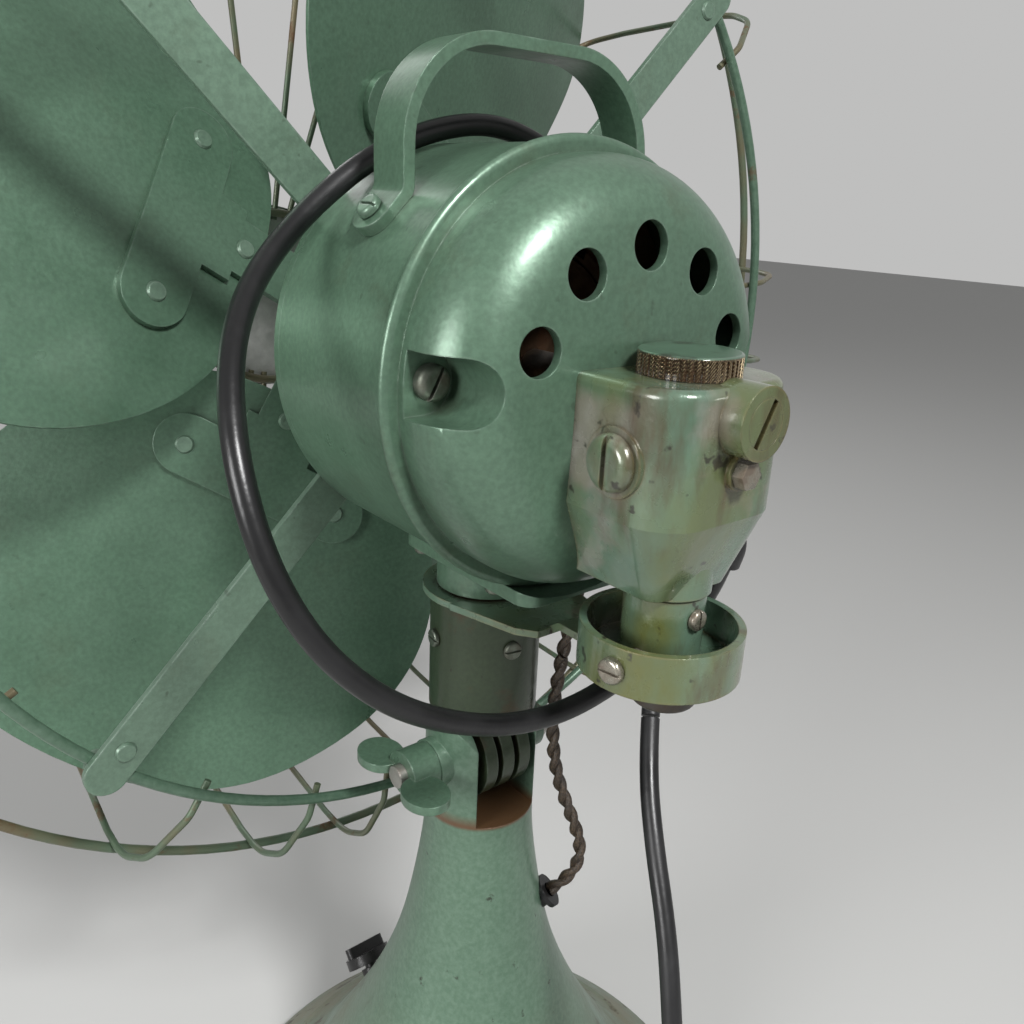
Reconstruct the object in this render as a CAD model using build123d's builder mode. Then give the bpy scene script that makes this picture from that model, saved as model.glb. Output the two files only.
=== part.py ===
from build123d import *
from math import asin, atan2, cos, degrees, pi, radians, sin, sqrt, tan
import os

# Oscillating desk fan on a trumpet-shaped cast base, in millimetres.
# +Z is up, the fan blows towards -Y and the oscillating gearbox is at +Y.
# The origin is on the swivel axis, at the bottom of the felt pad.

os.makedirs("parts", exist_ok=True)

# ---------------------------------------------------------------- driving sizes
slide_fit = 0.05  # radial clearance of a shaft that turns in its hole
seat_gap = 0.3  # gap between neighbouring pieces that don't touch

# motor and head
motor_height = 366.0  # motor shaft above the table
motor_radius = 63.5
shell_wall = 2.5
front_y = -26.7  # front end of the motor casing
seam_y = 36.3  # joint between the casing and the rear dome
dome_radius = 60.8
dome_straight_length = 7.6
dome_corner = 19.0
dome_crown = 3.2
bead_radius = 2.0
front_plate_thickness = 3.0

vent_count = 5
vent_radius = 6.35
vent_circle = 38.3
vent_spacing = 35.0  # degrees

bolt_circle = 53.0  # the two long bolts that hold the casing together
bolt_radius = 2.4
bolt_head_radius = 4.9
bolt_head_height = 3.6
pocket_radius = 8.6
pocket_y = seam_y + 4.0

shaft_radius = 5.0
rotor_core_radius = 34.0
rotor_core_length = 34.0
rotor_core_y = 2.0
air_gap = 0.7
bearing_radius = 9.0

# rotor outside the motor
rotor_y = -100.7  # plane of the blade spider
blade_pitch = 25.1  # degrees
blade_count = 4
first_arm = 31.7  # degrees above +X, seen along -Y
blade_thickness = 1.2
blade_camber_radius = 620.0
spider_thickness = 2.6
spider_hub_radius = 15.0
spider_hub_length = 25.0
ear_radial = 73.2
ear_side = 28.6
ear_radius = 12.0
stem_rivet_radial = 47.5
rivet_radius = 2.2
rivet_head_radius = 3.6
rivet_head_height = 1.1

# guard
rear_ring_radius = 174.0
rear_ring_wire = 1.9
front_ring_y = -71.0
front_ring_wire = 1.8
guard_wire = 1.25
guard_rim_radius = 214.7
guard_face_radius = guard_rim_radius - 10.7
guard_face_y = -153.0
nose_ring_radius = 37.0
nose_ring_wire = 1.8
badge_radius = 40.0
strut_width = 13.6
strut_thickness = 2.2
strut_inner = 40.0
strut_outer = rear_ring_radius + 8.0
strut_rivet_radial = rear_ring_radius - 7.4
lug_width = 11.0
lug_thickness = 1.6
quadrant_wires = (12.7, 27.8, 38.3, 51.7, 62.2, 77.3)
open_quadrant_wires = (8.6, 40.3, 51.7, 62.2, 77.3)

# oscillating gearbox
crank_y = 79.8  # vertical crank shaft
box_half_width = 24.5
box_top = motor_height + 8.0
box_taper_top = motor_height - 27.0  # the box narrows below this height
box_taper = 9.0
box_corner = 14.0
box_wall = 4.0
box_rear_radius = 19.5
cross_shaft_drop = 12.0
cross_shaft_radius = 3.0
worm_radius = 4.2
wheel_teeth = 30
wheel_pitch_radius = 7.8
wheel_width = 6.0
pinion_teeth = 10
pinion_pitch_radius = 4.0
pinion_width = 3.6
pinion_x = 10.8
crown_teeth = 32
crown_radius = 12.4
crown_thickness = 3.0
crank_shaft_radius = 4.5
crank_throw = 4.0
boss_offset = 6.0
cup_radius = 23.3
cup_height = 13.6
cup_wall = 2.2
cup_floor = 3.0
cup_rim_z = motor_height - 61.5
hub_radius = 11.5
pin_radius = 9.7
cap_radius = 13.5
cap_height = 6.0
side_plug_radius = 7.6

# link strap between the crank pin and the post
strap_thickness = 2.4
strap_z = motor_height - 81.6  # underside at the post
strap_joggle = 2.8
strap_eye_radius = 24.0
boss_radius = 13.4
boss_clearance = 2.1  # the open pivot of the linkage
strap_pin_radius = 4.0

# stem, swivel and tilt
post_radius = 19.6
spindle_radius = 6.0
pillar_radius = 17.5
tilt_z = motor_height - 145.0
column_top_z = motor_height - 126.0
tongue_radius = 17.0
fin_count = 3
fin_thickness = 5.0
fin_pitch = 7.4
slot_half_width = 13.2
slot_bottom_z = motor_height - 168.0
tilt_bolt_radius = 4.0

# base
felt_radius = 112.0
felt_thickness = 3.0
base_radius = 114.0
column_radius = 20.6
base_plate_thickness = 2.0
lead_hole_z = 152.0
switch_z = 42.0

# cords
cord_radius = 3.3
lead_radius = 2.6

motor_axis = Axis((0, 0, motor_height), (0, 1, 0))
motor_section = Plane(origin=(0, 0, motor_height), x_dir=(0, 1, 0), z_dir=(1, 0, 0))


def facing_front(y, x=0.0, z=motor_height):
    """Plane square to the motor shaft: local x is X, local y is up, and it faces the front."""
    return Plane(origin=(x, y, z), x_dir=(1, 0, 0), z_dir=(0, -1, 0))


def facing_rear(y, x=0.0, z=motor_height):
    """The same plane turned round, so that it faces the rear."""
    return Plane(origin=(x, y, z), x_dir=(-1, 0, 0), z_dir=(0, 1, 0))


def facing_side(x, y=0.0, z=motor_height, side=1):
    """Plane square to X, facing +X or, with side -1, facing -X. Local y is up."""
    return Plane(origin=(x, y, z), x_dir=(0, side, 0), z_dir=(side, 0, 0))


def facing_up(z, x=0.0, y=0.0):
    """Level plane that faces up."""
    return Plane(origin=(x, y, z), x_dir=(1, 0, 0), z_dir=(0, 0, 1))


def facing_down(z, x=0.0, y=0.0):
    """Level plane that faces down."""
    return Plane(origin=(x, y, z), x_dir=(1, 0, 0), z_dir=(0, 0, -1))


def round_shaft(y, radius, angle):
    """Plane standing on a circle round the motor shaft and facing outwards."""
    out = (cos(radians(angle)), 0, sin(radians(angle)))
    return Plane(origin=(radius * out[0], y, motor_height + radius * out[2]), x_dir=(0, 1, 0), z_dir=out)


def round_neck(z, radius, angle):
    """Plane standing on a circle round the swivel axis and facing outwards."""
    out = (cos(radians(angle)), sin(radians(angle)), 0)
    return Plane(origin=(radius * out[0], radius * out[1], z), x_dir=(-out[1], out[0], 0), z_dir=out)


def drill(plane, radius, depth):
    """Round hole in the current part, from a plane and against the way it faces."""
    with Locations(plane.location):
        Cylinder(radius, depth, align=(Align.CENTER, Align.CENTER, Align.MAX), mode=Mode.SUBTRACT)


def peg(plane, radius, length):
    """Round boss on the current part, standing on a plane."""
    with Locations(plane.location):
        Cylinder(radius, length, align=(Align.CENTER, Align.CENTER, Align.MIN))


def slotted_screw(plane, head_radius, head_height, shank_radius, shank_length, dome=0.5, turn=0.0):
    """Screw with a slotted head standing on a plane and its shank going into it."""
    with BuildPart() as screw:
        with BuildSketch(plane):
            Circle(head_radius)
        extrude(amount=head_height)
        fillet(screw.edges().group_by(SortBy.LENGTH)[-1].sort_by(Axis(plane.origin, plane.z_dir))[-1],
               radius=dome * head_height)
        with BuildSketch(plane.offset(head_height)):
            Rectangle(2 * head_radius, 0.22 * head_radius, rotation=turn)
        extrude(amount=-0.45 * head_height, mode=Mode.SUBTRACT)
        if shank_length:
            with BuildSketch(plane):
                Circle(shank_radius)
            extrude(amount=-shank_length)
    return screw.part


def rivet(plane, length, shank_radius, head_radius, head_height):
    """Rivet through a stack of the given thickness under the plane, headed on both sides."""
    with BuildPart() as made:
        with BuildSketch(plane.offset(-length)):
            Circle(shank_radius)
        extrude(amount=length)
        with BuildSketch(plane):
            Circle(head_radius)
        extrude(amount=head_height, taper=30)
        with BuildSketch(plane.offset(-length)):
            Circle(head_radius)
        extrude(amount=-head_height, taper=30)
    return made.part


def finish(part, label):
    """Names a finished piece and writes its file."""
    part.label = label
    export_step(part, f"parts/{label}.step")


def gather(label, pieces):
    """Writes several separate solids as one node."""
    with BuildPart() as node:
        for piece in pieces:
            add(piece)
    finish(node.part, label)
    return node.part


def revolved(points):
    """Solid of revolution about the motor shaft from (y, radius) points."""
    with BuildPart() as made:
        with BuildSketch(motor_section):
            with BuildLine():
                Polyline(*points, close=True)
            make_face()
        revolve(axis=motor_axis)
    return made.part


# ================================================================ base
lead_angle = degrees(atan2(0.621, -0.783))  # side of the column that the lead goes in
lead_out = (0.766 * cos(radians(lead_angle)), 0.766 * sin(radians(lead_angle)), 0.643)
lead_plane = Plane(
    origin=(28.0 * cos(radians(lead_angle)), 28.0 * sin(radians(lead_angle)), lead_hole_z),
    x_dir=(-sin(radians(lead_angle)), cos(radians(lead_angle)), 0),
    z_dir=lead_out,
)
switch_plane = Plane(origin=(0, -78.0, switch_z), x_dir=(1, 0, 0), z_dir=(0, -0.72, 0.694))
cheek_radius = 18.0

with BuildPart() as base_casting:
    with BuildSketch(Plane.XZ):
        with BuildLine():
            outer = Spline(
                (column_radius, 196.0),
                (22.0, 178.0),
                (25.6, 156.0),
                (30.4, 135.0),
                (38.5, 112.0),
                (52.0, 84.0),
                (70.0, 54.0),
                (90.0, 30.0),
                tangents=((0, -1), (0.76, -0.65)),
            )
            inner = Spline(
                (base_radius - 6.5, 9.0),
                (86.0, 25.6),
                (66.0, 49.5),
                (48.0, 79.0),
                (34.5, 107.0),
                (26.0, 131.0),
                (21.0, 154.0),
                (17.6, 176.0),
                (16.4, 190.0),
                tangents=((-0.8, 0.6), (0, 1)),
            )
            Line((column_radius, column_top_z), outer @ 0)
            Polyline(
                outer @ 1,
                (93.0, 28.6),
                (base_radius - 1.5, 9.0),
                (base_radius, 7.0),
                (base_radius, felt_thickness),
                (base_radius - 5.0, felt_thickness),
                (base_radius - 5.0, 8.0),
                inner @ 0,
            )
            Polyline(inner @ 1, (0, 190.0), (0, column_top_z), (column_radius, column_top_z))
        make_face()
    revolve(axis=Axis.Z)
    # flat bosses on the cheeks for the tilt bolt
    peg(facing_side(column_radius - 6.0, z=tilt_z), 9.0, 9.0)
    peg(facing_side(6.0 - column_radius, z=tilt_z, side=-1), 9.0, 9.0)
    # fork for the tongue of the stem, open at the rear and the top
    with BuildSketch(Plane.XY.offset(slot_bottom_z)):
        with Locations((0, column_radius)):
            Rectangle(2 * slot_half_width, 2 * (column_radius + tongue_radius + 1.0))
    extrude(amount=column_top_z - slot_bottom_z, mode=Mode.SUBTRACT)
    # rounded tops of the cheeks, so that the stem can lean
    with BuildSketch(facing_side(0, z=tilt_z)):
        with Locations((0, 19.5)):
            Rectangle(60.0, 21.0)
        Circle(cheek_radius, mode=Mode.SUBTRACT)
    extrude(amount=30.0, both=True, mode=Mode.SUBTRACT)
    drill(facing_side(30.0, z=tilt_z), tilt_bolt_radius, 60.0)
    # hole for the twisted lead and window for the speed switch
    drill(lead_plane, 4.5, 12.0)
    drill(lead_plane.offset(8.0), 6.6, 8.0)
    drill(switch_plane.offset(12.0), 6.0, 30.0)
finish(base_casting.part, "base_casting")

with BuildPart() as felt_pad:
    with BuildSketch(Plane.XY):
        Circle(felt_radius)
    extrude(amount=felt_thickness)
finish(felt_pad.part, "felt_pad")

with BuildPart() as base_plate:
    with BuildSketch(Plane.XY.offset(felt_thickness)):
        Circle(base_radius - 5.0)
    extrude(amount=base_plate_thickness)
finish(base_plate.part, "base_plate")

# speed switch clamped in the window, on the inside of the casting
with BuildPart() as speed_switch:
    with BuildSketch(switch_plane.offset(-9.0)):
        RectangleRounded(24.0, 30.0, 2.0)
    extrude(amount=-14.0)
    peg(switch_plane.offset(-9.0), 5.4, 14.0)
    drill(switch_plane.offset(5.0), 3.0 + slide_fit, 14.0)
finish(speed_switch.part, "speed_switch")

with BuildPart() as switch_knob:
    peg(switch_plane.offset(-8.0), 3.0, 15.0)
    with BuildSketch(switch_plane.offset(7.0)):
        Circle(11.0)
    extrude(amount=5.0)
    with BuildSketch(switch_plane.offset(12.0)):
        SlotOverall(20.0, 5.0)
    extrude(amount=5.0)
finish(switch_knob.part, "switch_knob")

bolt_end = column_radius + 3.0
with BuildPart() as tilt_bolt:
    peg(facing_side(-bolt_end, z=tilt_z), tilt_bolt_radius, 2 * bolt_end + 14.0)
    with BuildSketch(facing_side(-bolt_end, z=tilt_z, side=-1)):
        RegularPolygon(7.0, 6)
    extrude(amount=5.0)
finish(tilt_bolt.part, "tilt_bolt")

# wing nut: round barrel with two flat ears, drilled for the end of the bolt
with BuildPart() as wing_nut:
    peg(facing_side(bolt_end + 0.1, z=tilt_z), 8.5, 11.0)
    with BuildSketch(facing_up(tilt_z - 1.6, x=bolt_end + 6.0)):
        for side in (-1, 1):
            with Locations((5.0, side * 14.5)):
                Ellipse(8.0, 9.5)
    extrude(amount=3.2)
    drill(facing_side(bolt_end + 20.0, z=tilt_z), tilt_bolt_radius + slide_fit, 30.0)
finish(wing_nut.part, "wing_nut")

with BuildPart() as lead_grommet:
    peg(lead_plane.offset(-9.0), 4.5, 9.0)
    peg(lead_plane, 6.5, 2.0)
    drill(lead_plane.offset(2.0), lead_radius + seat_gap, 11.0)
finish(lead_grommet.part, "lead_grommet")

# ================================================================ stem
post_bottom = tilt_z + cheek_radius + 1.0
post_top = strap_z - 0.4
boss_top = strap_z + strap_thickness + 0.5
spindle_bottom = post_bottom + 8.0
groove_z = 269.1
lock_angles = (80.4, -9.0)

with BuildPart() as tilt_stem:
    peg(facing_up(post_bottom), post_radius, post_top - post_bottom)
    peg(facing_up(post_top, x=-boss_offset), boss_radius, boss_top - post_top)
    # tongue: flat discs round the tilt bolt, joined under the post
    for fin in range(fin_count):
        x = (fin - (fin_count - 1) / 2) * fin_pitch
        with BuildSketch(facing_side(x - fin_thickness / 2, z=tilt_z)):
            Circle(tongue_radius)
        extrude(amount=fin_thickness)
    with Locations((0, 0, tilt_z + tongue_radius - 5.0)):
        Box(2 * slot_half_width - 0.2, 15.0, 8.0, align=(Align.CENTER, Align.CENTER, Align.MIN))
    drill(facing_side(30.0, z=tilt_z), tilt_bolt_radius + slide_fit, 60.0)
    drill(facing_up(boss_top), spindle_radius + slide_fit, boss_top - spindle_bottom)
    for angle in lock_angles:
        drill(round_neck(groove_z, post_radius, angle), 2.0, post_radius)
finish(tilt_stem.part, "tilt_stem")

lock_screws = [
    slotted_screw(round_neck(groove_z, post_radius, angle), 3.2, 1.6, 2.0, post_radius - spindle_radius + 1.2)
    for angle in lock_angles
]
gather("swivel_lock_screws", lock_screws)

# ================================================================ swivel and platform
pillar_bottom = boss_top + seat_gap
platform_bottom = motor_height - 67.0
platform_front = -22.0
platform_rear = 46.0
platform_screw_points = ((17.0, -14.0), (-17.0, -14.0), (17.0, 26.0), (-17.0, 26.0))

with BuildPart() as swivel_platform:
    peg(facing_up(pillar_bottom), pillar_radius, platform_bottom - pillar_bottom + 1.0)
    with BuildSketch(Plane.XY.offset(platform_bottom)):
        with Locations((0, (platform_front + platform_rear) / 2)):
            RectangleRounded(42.0, platform_rear - platform_front, 6.0)
    extrude(amount=10.0)
    # saddle that fits the casing, stepped down under the seam bead
    drill(facing_rear(seam_y - 3.0), motor_radius, 90.0)
    drill(facing_rear(platform_rear + 1.0), motor_radius + 2.4, platform_rear - seam_y + 4.0)
    drill(facing_up(platform_bottom + 10.0), spindle_radius, 30.0)
    for x, y in platform_screw_points:
        drill(facing_up(platform_bottom + 10.0, x, y), 2.0, 20.0)
finish(swivel_platform.part, "swivel_platform")

with BuildPart() as swivel_spindle:
    peg(facing_up(spindle_bottom + 1.0), spindle_radius, platform_bottom + 3.0 - spindle_bottom - 1.0)
    with BuildSketch(Plane.XZ.offset(0)):
        with Locations((spindle_radius, groove_z)):
            Rectangle(3.4, 5.2)
    revolve(axis=Axis.Z, mode=Mode.SUBTRACT)
finish(swivel_spindle.part, "swivel_spindle")

platform_screws = []
for x, y in platform_screw_points:
    casing_inside = motor_height - sqrt((motor_radius - shell_wall) ** 2 - x**2)
    platform_screws.append(
        slotted_screw(
            facing_down(platform_bottom, x, y), 3.4, 2.2, 2.0, casing_inside - platform_bottom - 1.4
        )
    )
gather("platform_screws", platform_screws)

# ================================================================ motor
lead_top_z = 314.0
lead_top_radius = 33.5


def beside_neck(radius, z):
    """Point at a distance from the swivel axis, on the side where the lead runs."""
    return (radius * cos(radians(lead_angle)), radius * sin(radians(lead_angle)), z)


housing_front = front_y + front_plate_thickness
housing_rear = seam_y - 1.6
handle_y = 8.3
handle_screw_angles = (41.0, 139.0)

with BuildPart() as motor_housing:
    with BuildSketch(facing_front(housing_rear)):
        Circle(motor_radius)
        Circle(motor_radius - shell_wall, mode=Mode.SUBTRACT)
    extrude(amount=housing_rear - housing_front)
    for x, y in platform_screw_points:
        drill(facing_up(platform_bottom + 12.0, x, y), 2.0, 20.0)
    for angle in handle_screw_angles:
        drill(round_shaft(handle_y, motor_radius + 1.0, angle), 2.0, 6.0)
    drill(Plane(origin=beside_neck(lead_top_radius, lead_top_z)), lead_radius, 12.0)
finish(motor_housing.part, "motor_housing")

strut_angles = (45.0, 135.0, 225.0, 315.0)
inner_rivet_radials = (45.0, 56.0)
bearing_boss_radius = 13.0
bolt_height = 3.5

with BuildPart() as front_end_plate:
    with BuildSketch(facing_front(housing_front)):
        Circle(motor_radius)
    extrude(amount=front_plate_thickness)
    peg(facing_front(-17.0), bearing_boss_radius, 16.0)
    drill(facing_front(-34.0), bearing_radius, 30.0)
    for angle in strut_angles:
        for radial in inner_rivet_radials:
            x, z = radial * cos(radians(angle)), radial * sin(radians(angle))
            drill(facing_front(-32.0, x, motor_height + z), rivet_radius, 20.0)
    for side in (-1, 1):
        drill(facing_front(-32.0, side * bolt_circle, motor_height + bolt_height), bolt_radius, 20.0)
    # cooling slots between the bearing and the rim
    with BuildSketch(facing_front(front_y)):
        with PolarLocations(28.0, 8, start_angle=22.5):
            SlotOverall(14.0, 5.0)
    extrude(amount=-front_plate_thickness, mode=Mode.SUBTRACT)
finish(front_end_plate.part, "front_end_plate")

# rear dome: shell of revolution, pockets for the two long bolts, five vents and the bearing
dome_straight = seam_y + dome_straight_length
crown_turn = atan2(dome_crown, vent_circle)
corner_height = dome_radius - dome_corner
dome_end = (
    dome_straight
    + dome_corner * cos(crown_turn)
    + (corner_height + dome_corner * sin(crown_turn)) * tan(crown_turn)
)


def dome_profile(offset, start):
    """Half section of the dome, moved inwards by an offset, from its open end to the shaft."""
    radius = dome_corner - offset
    middle = (pi / 2 + crown_turn) / 2
    rim = (dome_straight, dome_radius - offset)
    end = (dome_straight + radius * cos(crown_turn), corner_height + radius * sin(crown_turn))
    mid = (dome_straight + radius * cos(middle), corner_height + radius * sin(middle))
    centre = (end[0] + end[1] * tan(crown_turn), 0)
    with BuildPart() as made:
        with BuildSketch(motor_section):
            with BuildLine():
                Line((start, dome_radius - offset), rim)
                ThreePointArc(rim, mid, end)
                Polyline(end, centre, (start, 0), (start, dome_radius - offset))
            make_face()
        revolve(axis=motor_axis)
    return made.part


dome_outside = dome_profile(0.0, housing_rear)
dome_inside = dome_profile(2.8, housing_rear - 1.0)

with BuildPart() as dome_cavity:
    add(dome_inside)
    for side in (-1, 1):
        drill(
            facing_rear(dome_end + 10.0, side * (bolt_circle + 1.5), motor_height + bolt_height),
            pocket_radius + 2.6,
            dome_end + 10.0 - (pocket_y - 4.0),
        )
    drill(facing_rear(dome_end + 10.0), bearing_boss_radius, 26.0)

with BuildPart() as rear_dome:
    add(dome_outside)
    # half-round bead over the seam
    with BuildSketch(motor_section):
        with Locations((seam_y, motor_radius)):
            Ellipse(1.6, bead_radius)
        with Locations((seam_y, motor_radius - 4.0)):
            Rectangle(3.2, 8.0)
    revolve(axis=motor_axis)
    add(dome_cavity.part, mode=Mode.SUBTRACT)
    for side in (-1, 1):
        # pocket that runs out through the side of the dome
        with BuildSketch(facing_rear(pocket_y)):
            with Locations((-side * (bolt_circle + 1.5), bolt_height)):
                Circle(pocket_radius)
            with Locations((-side * (bolt_circle + 14.0), bolt_height)):
                Rectangle(25.0, 2 * pocket_radius)
        extrude(amount=40.0, mode=Mode.SUBTRACT)
        drill(facing_rear(pocket_y + 1.0, side * bolt_circle, motor_height + bolt_height), bolt_radius, 12.0)
    for vent in range(vent_count):
        angle = 90.0 + (vent - (vent_count - 1) / 2) * vent_spacing
        x, z = vent_circle * cos(radians(angle)), vent_circle * sin(radians(angle))
        drill(facing_rear(dome_end + 10.0, x, motor_height + z), vent_radius, 20.0)
    drill(facing_rear(dome_end + 10.0), bearing_radius, 60.0)
finish(rear_dome.part, "rear_dome")

bolts = []
for side in (-1, 1):
    head_plane = facing_rear(pocket_y, side * bolt_circle, motor_height + bolt_height)
    bolt_length = pocket_y - front_y + 4.5
    bolt = slotted_screw(head_plane, bolt_head_radius, bolt_head_height, bolt_radius, bolt_length, turn=62.0)
    with BuildPart() as bolt_with_nut:
        add(bolt)
        with BuildSketch(facing_front(front_y, side * bolt_circle, motor_height + bolt_height)):
            RegularPolygon(4.6, 6)
            Circle(bolt_radius, mode=Mode.SUBTRACT)
        extrude(amount=3.0)
    bolts.append(bolt_with_nut.part)
gather("through_bolts", bolts)

# stator: slotted ring of laminations with eight coils round its teeth
stator_rear = rotor_core_y + rotor_core_length / 2
stator_bore = rotor_core_radius + air_gap
slot_count = 8
with BuildPart() as stator_core:
    with BuildSketch(facing_front(stator_rear)):
        Circle(motor_radius - shell_wall)
        Circle(stator_bore, mode=Mode.SUBTRACT)
        with PolarLocations((stator_bore + 51.0) / 2 - 0.5, slot_count, start_angle=22.5):
            Rectangle(51.0 - stator_bore - 3.0, 10.0, mode=Mode.SUBTRACT)
        with PolarLocations(stator_bore, slot_count, start_angle=22.5):
            Rectangle(8.0, 2.4, mode=Mode.SUBTRACT)
        for side in (-1, 1):
            with Locations((side * bolt_circle, bolt_height)):
                Circle(bolt_radius + 0.6, mode=Mode.SUBTRACT)
    extrude(amount=rotor_core_length)
finish(stator_core.part, "stator_core")

coil_radial = stator_bore + 4.6
with BuildPart() as stator_coils:
    with BuildSketch(facing_front(stator_rear)):
        Circle(51.0 - 3.2)
        Circle(coil_radial - 1.0, mode=Mode.SUBTRACT)
    extrude(amount=-6.0)
    with BuildSketch(facing_front(stator_rear - rotor_core_length)):
        Circle(51.0 - 3.2)
        Circle(coil_radial - 1.0, mode=Mode.SUBTRACT)
    extrude(amount=5.0)
    with BuildSketch(facing_front(stator_rear)):
        with PolarLocations((coil_radial + 47.0) / 2, slot_count, start_angle=22.5):
            Rectangle(47.0 - coil_radial - 0.6, 9.4)
    extrude(amount=rotor_core_length)
finish(stator_coils.part, "stator_coils")

bush_sections = ((-32.6, -17.4), (dome_end - 16.0, dome_end - 1.2))
bushes = []
for start, end in bush_sections:
    bushes.append(
        revolved([
            (start, shaft_radius + slide_fit),
            (start, bearing_radius),
            (end, bearing_radius),
            (end, shaft_radius + slide_fit),
        ])
    )
gather("shaft_bearings", bushes)

# ================================================================ shaft and rotor
journal_end = dome_end + 1.4
shaft_rear = crank_y + 11.8
worm_core = worm_radius - 1.0
shaft_tip = rotor_y - 14.0
worm_half = 7.0

with BuildPart() as motor_shaft:
    peg(facing_rear(shaft_tip), shaft_radius, journal_end - shaft_tip)
    peg(facing_rear(journal_end), 2.4, shaft_rear - journal_end)
finish(motor_shaft.part, "motor_shaft")

with BuildPart() as rotor_core:
    with BuildSketch(facing_front(stator_rear)):
        Circle(rotor_core_radius)
        Circle(shaft_radius, mode=Mode.SUBTRACT)
    extrude(amount=rotor_core_length)
    for plane in (facing_rear(stator_rear), facing_front(stator_rear - rotor_core_length)):
        with BuildSketch(plane):
            Circle(rotor_core_radius - 2.0)
            Circle(rotor_core_radius - 9.0, mode=Mode.SUBTRACT)
        extrude(amount=2.0)
finish(rotor_core.part, "rotor_core")

# worm sleeve: thread turns stand on a core and are spaced like the wheel's teeth
wheel_step = 2 * pi * wheel_pitch_radius / wheel_teeth
worm_points = [(crank_y - worm_half, 2.4), (crank_y - worm_half, worm_core)]
turn_count = int(2 * (worm_half - 1.0) / wheel_step)
for turn in range(turn_count):
    y = crank_y + (turn - (turn_count - 1) / 2) * wheel_step
    worm_points += [
        (y - 0.30 * wheel_step, worm_core),
        (y - 0.14 * wheel_step, worm_radius - 0.1),
        (y + 0.14 * wheel_step, worm_radius - 0.1),
        (y + 0.30 * wheel_step, worm_core),
    ]
worm_points += [(crank_y + worm_half, worm_core), (crank_y + worm_half, 2.4)]
drive_worm = revolved(worm_points)
finish(drive_worm, "drive_worm")


def toothed_wheel(plane, teeth, root, tip, width, bore):
    """Plain spur-toothed wheel standing on a plane."""
    step = 360.0 / teeth
    points = []
    for tooth in range(teeth):
        for part, radius in ((-0.30, root), (-0.14, tip), (0.14, tip), (0.30, root)):
            angle = radians((tooth + part) * step)
            points.append((radius * cos(angle), radius * sin(angle)))
    with BuildPart() as wheel:
        with BuildSketch(plane):
            with BuildLine():
                Polyline(*points, close=True)
            make_face()
            if bore:
                Circle(bore, mode=Mode.SUBTRACT)
        extrude(amount=width)
    return wheel.part


cross_z = motor_height - cross_shaft_drop
cross_end = box_half_width - 1.5
worm_wheel = toothed_wheel(
    facing_side(-wheel_width / 2, crank_y, cross_z),
    wheel_teeth,
    wheel_pitch_radius - 1.0,
    wheel_pitch_radius - 0.1,
    wheel_width,
    cross_shaft_radius,
)
finish(worm_wheel, "worm_wheel")

pinion = toothed_wheel(
    facing_side(pinion_x - pinion_width / 2, crank_y, cross_z),
    pinion_teeth,
    cross_shaft_radius,
    pinion_pitch_radius - 0.1,
    pinion_width,
    0,
)
with BuildPart() as cross_shaft:
    add(pinion)
    peg(facing_side(-cross_end, crank_y, cross_z), cross_shaft_radius, 2 * cross_end)
finish(cross_shaft.part, "cross_shaft")

# crown wheel: a cup with a toothed rim, bored to turn on the crank shaft
crown_top = cross_z - pinion_pitch_radius - 0.1
crown_bottom = crown_top - 8.6
crown_inner = 9.2
with BuildPart() as crown_wheel:
    with BuildSketch(facing_up(crown_bottom, y=crank_y)):
        Circle(crown_radius)
    extrude(amount=crown_top - crown_bottom)
    with BuildSketch(facing_up(crown_bottom + crown_thickness, y=crank_y)):
        Circle(crown_inner)
    extrude(amount=crown_top - crown_bottom, mode=Mode.SUBTRACT)
    drill(facing_up(crown_top, y=crank_y), crank_shaft_radius + slide_fit, 20.0)
    with BuildSketch(facing_up(crown_top, y=crank_y)):
        with PolarLocations((crown_radius + crown_inner) / 2, crown_teeth):
            Rectangle(crown_radius - crown_inner + 1.0, 1.1)
    extrude(amount=-0.9, mode=Mode.SUBTRACT)
finish(crown_wheel.part, "crown_wheel")

# ================================================================ gearbox
cavity_half_width = box_half_width - box_wall
cavity_bottom = crown_bottom - 4.4
cavity_top = motor_height + worm_radius + 1.6
nose_bottom = motor_height - 50.6
box_rear = crank_y + box_rear_radius - 1.0
cavity_rear = box_rear - 3.6
level_z = motor_height - 13.6
thrust_ring_radius = 9.4
ring_front = crank_y + cap_radius + 0.6  # the ring starts behind the oil cap
level_hex_radius = 3.8

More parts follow.
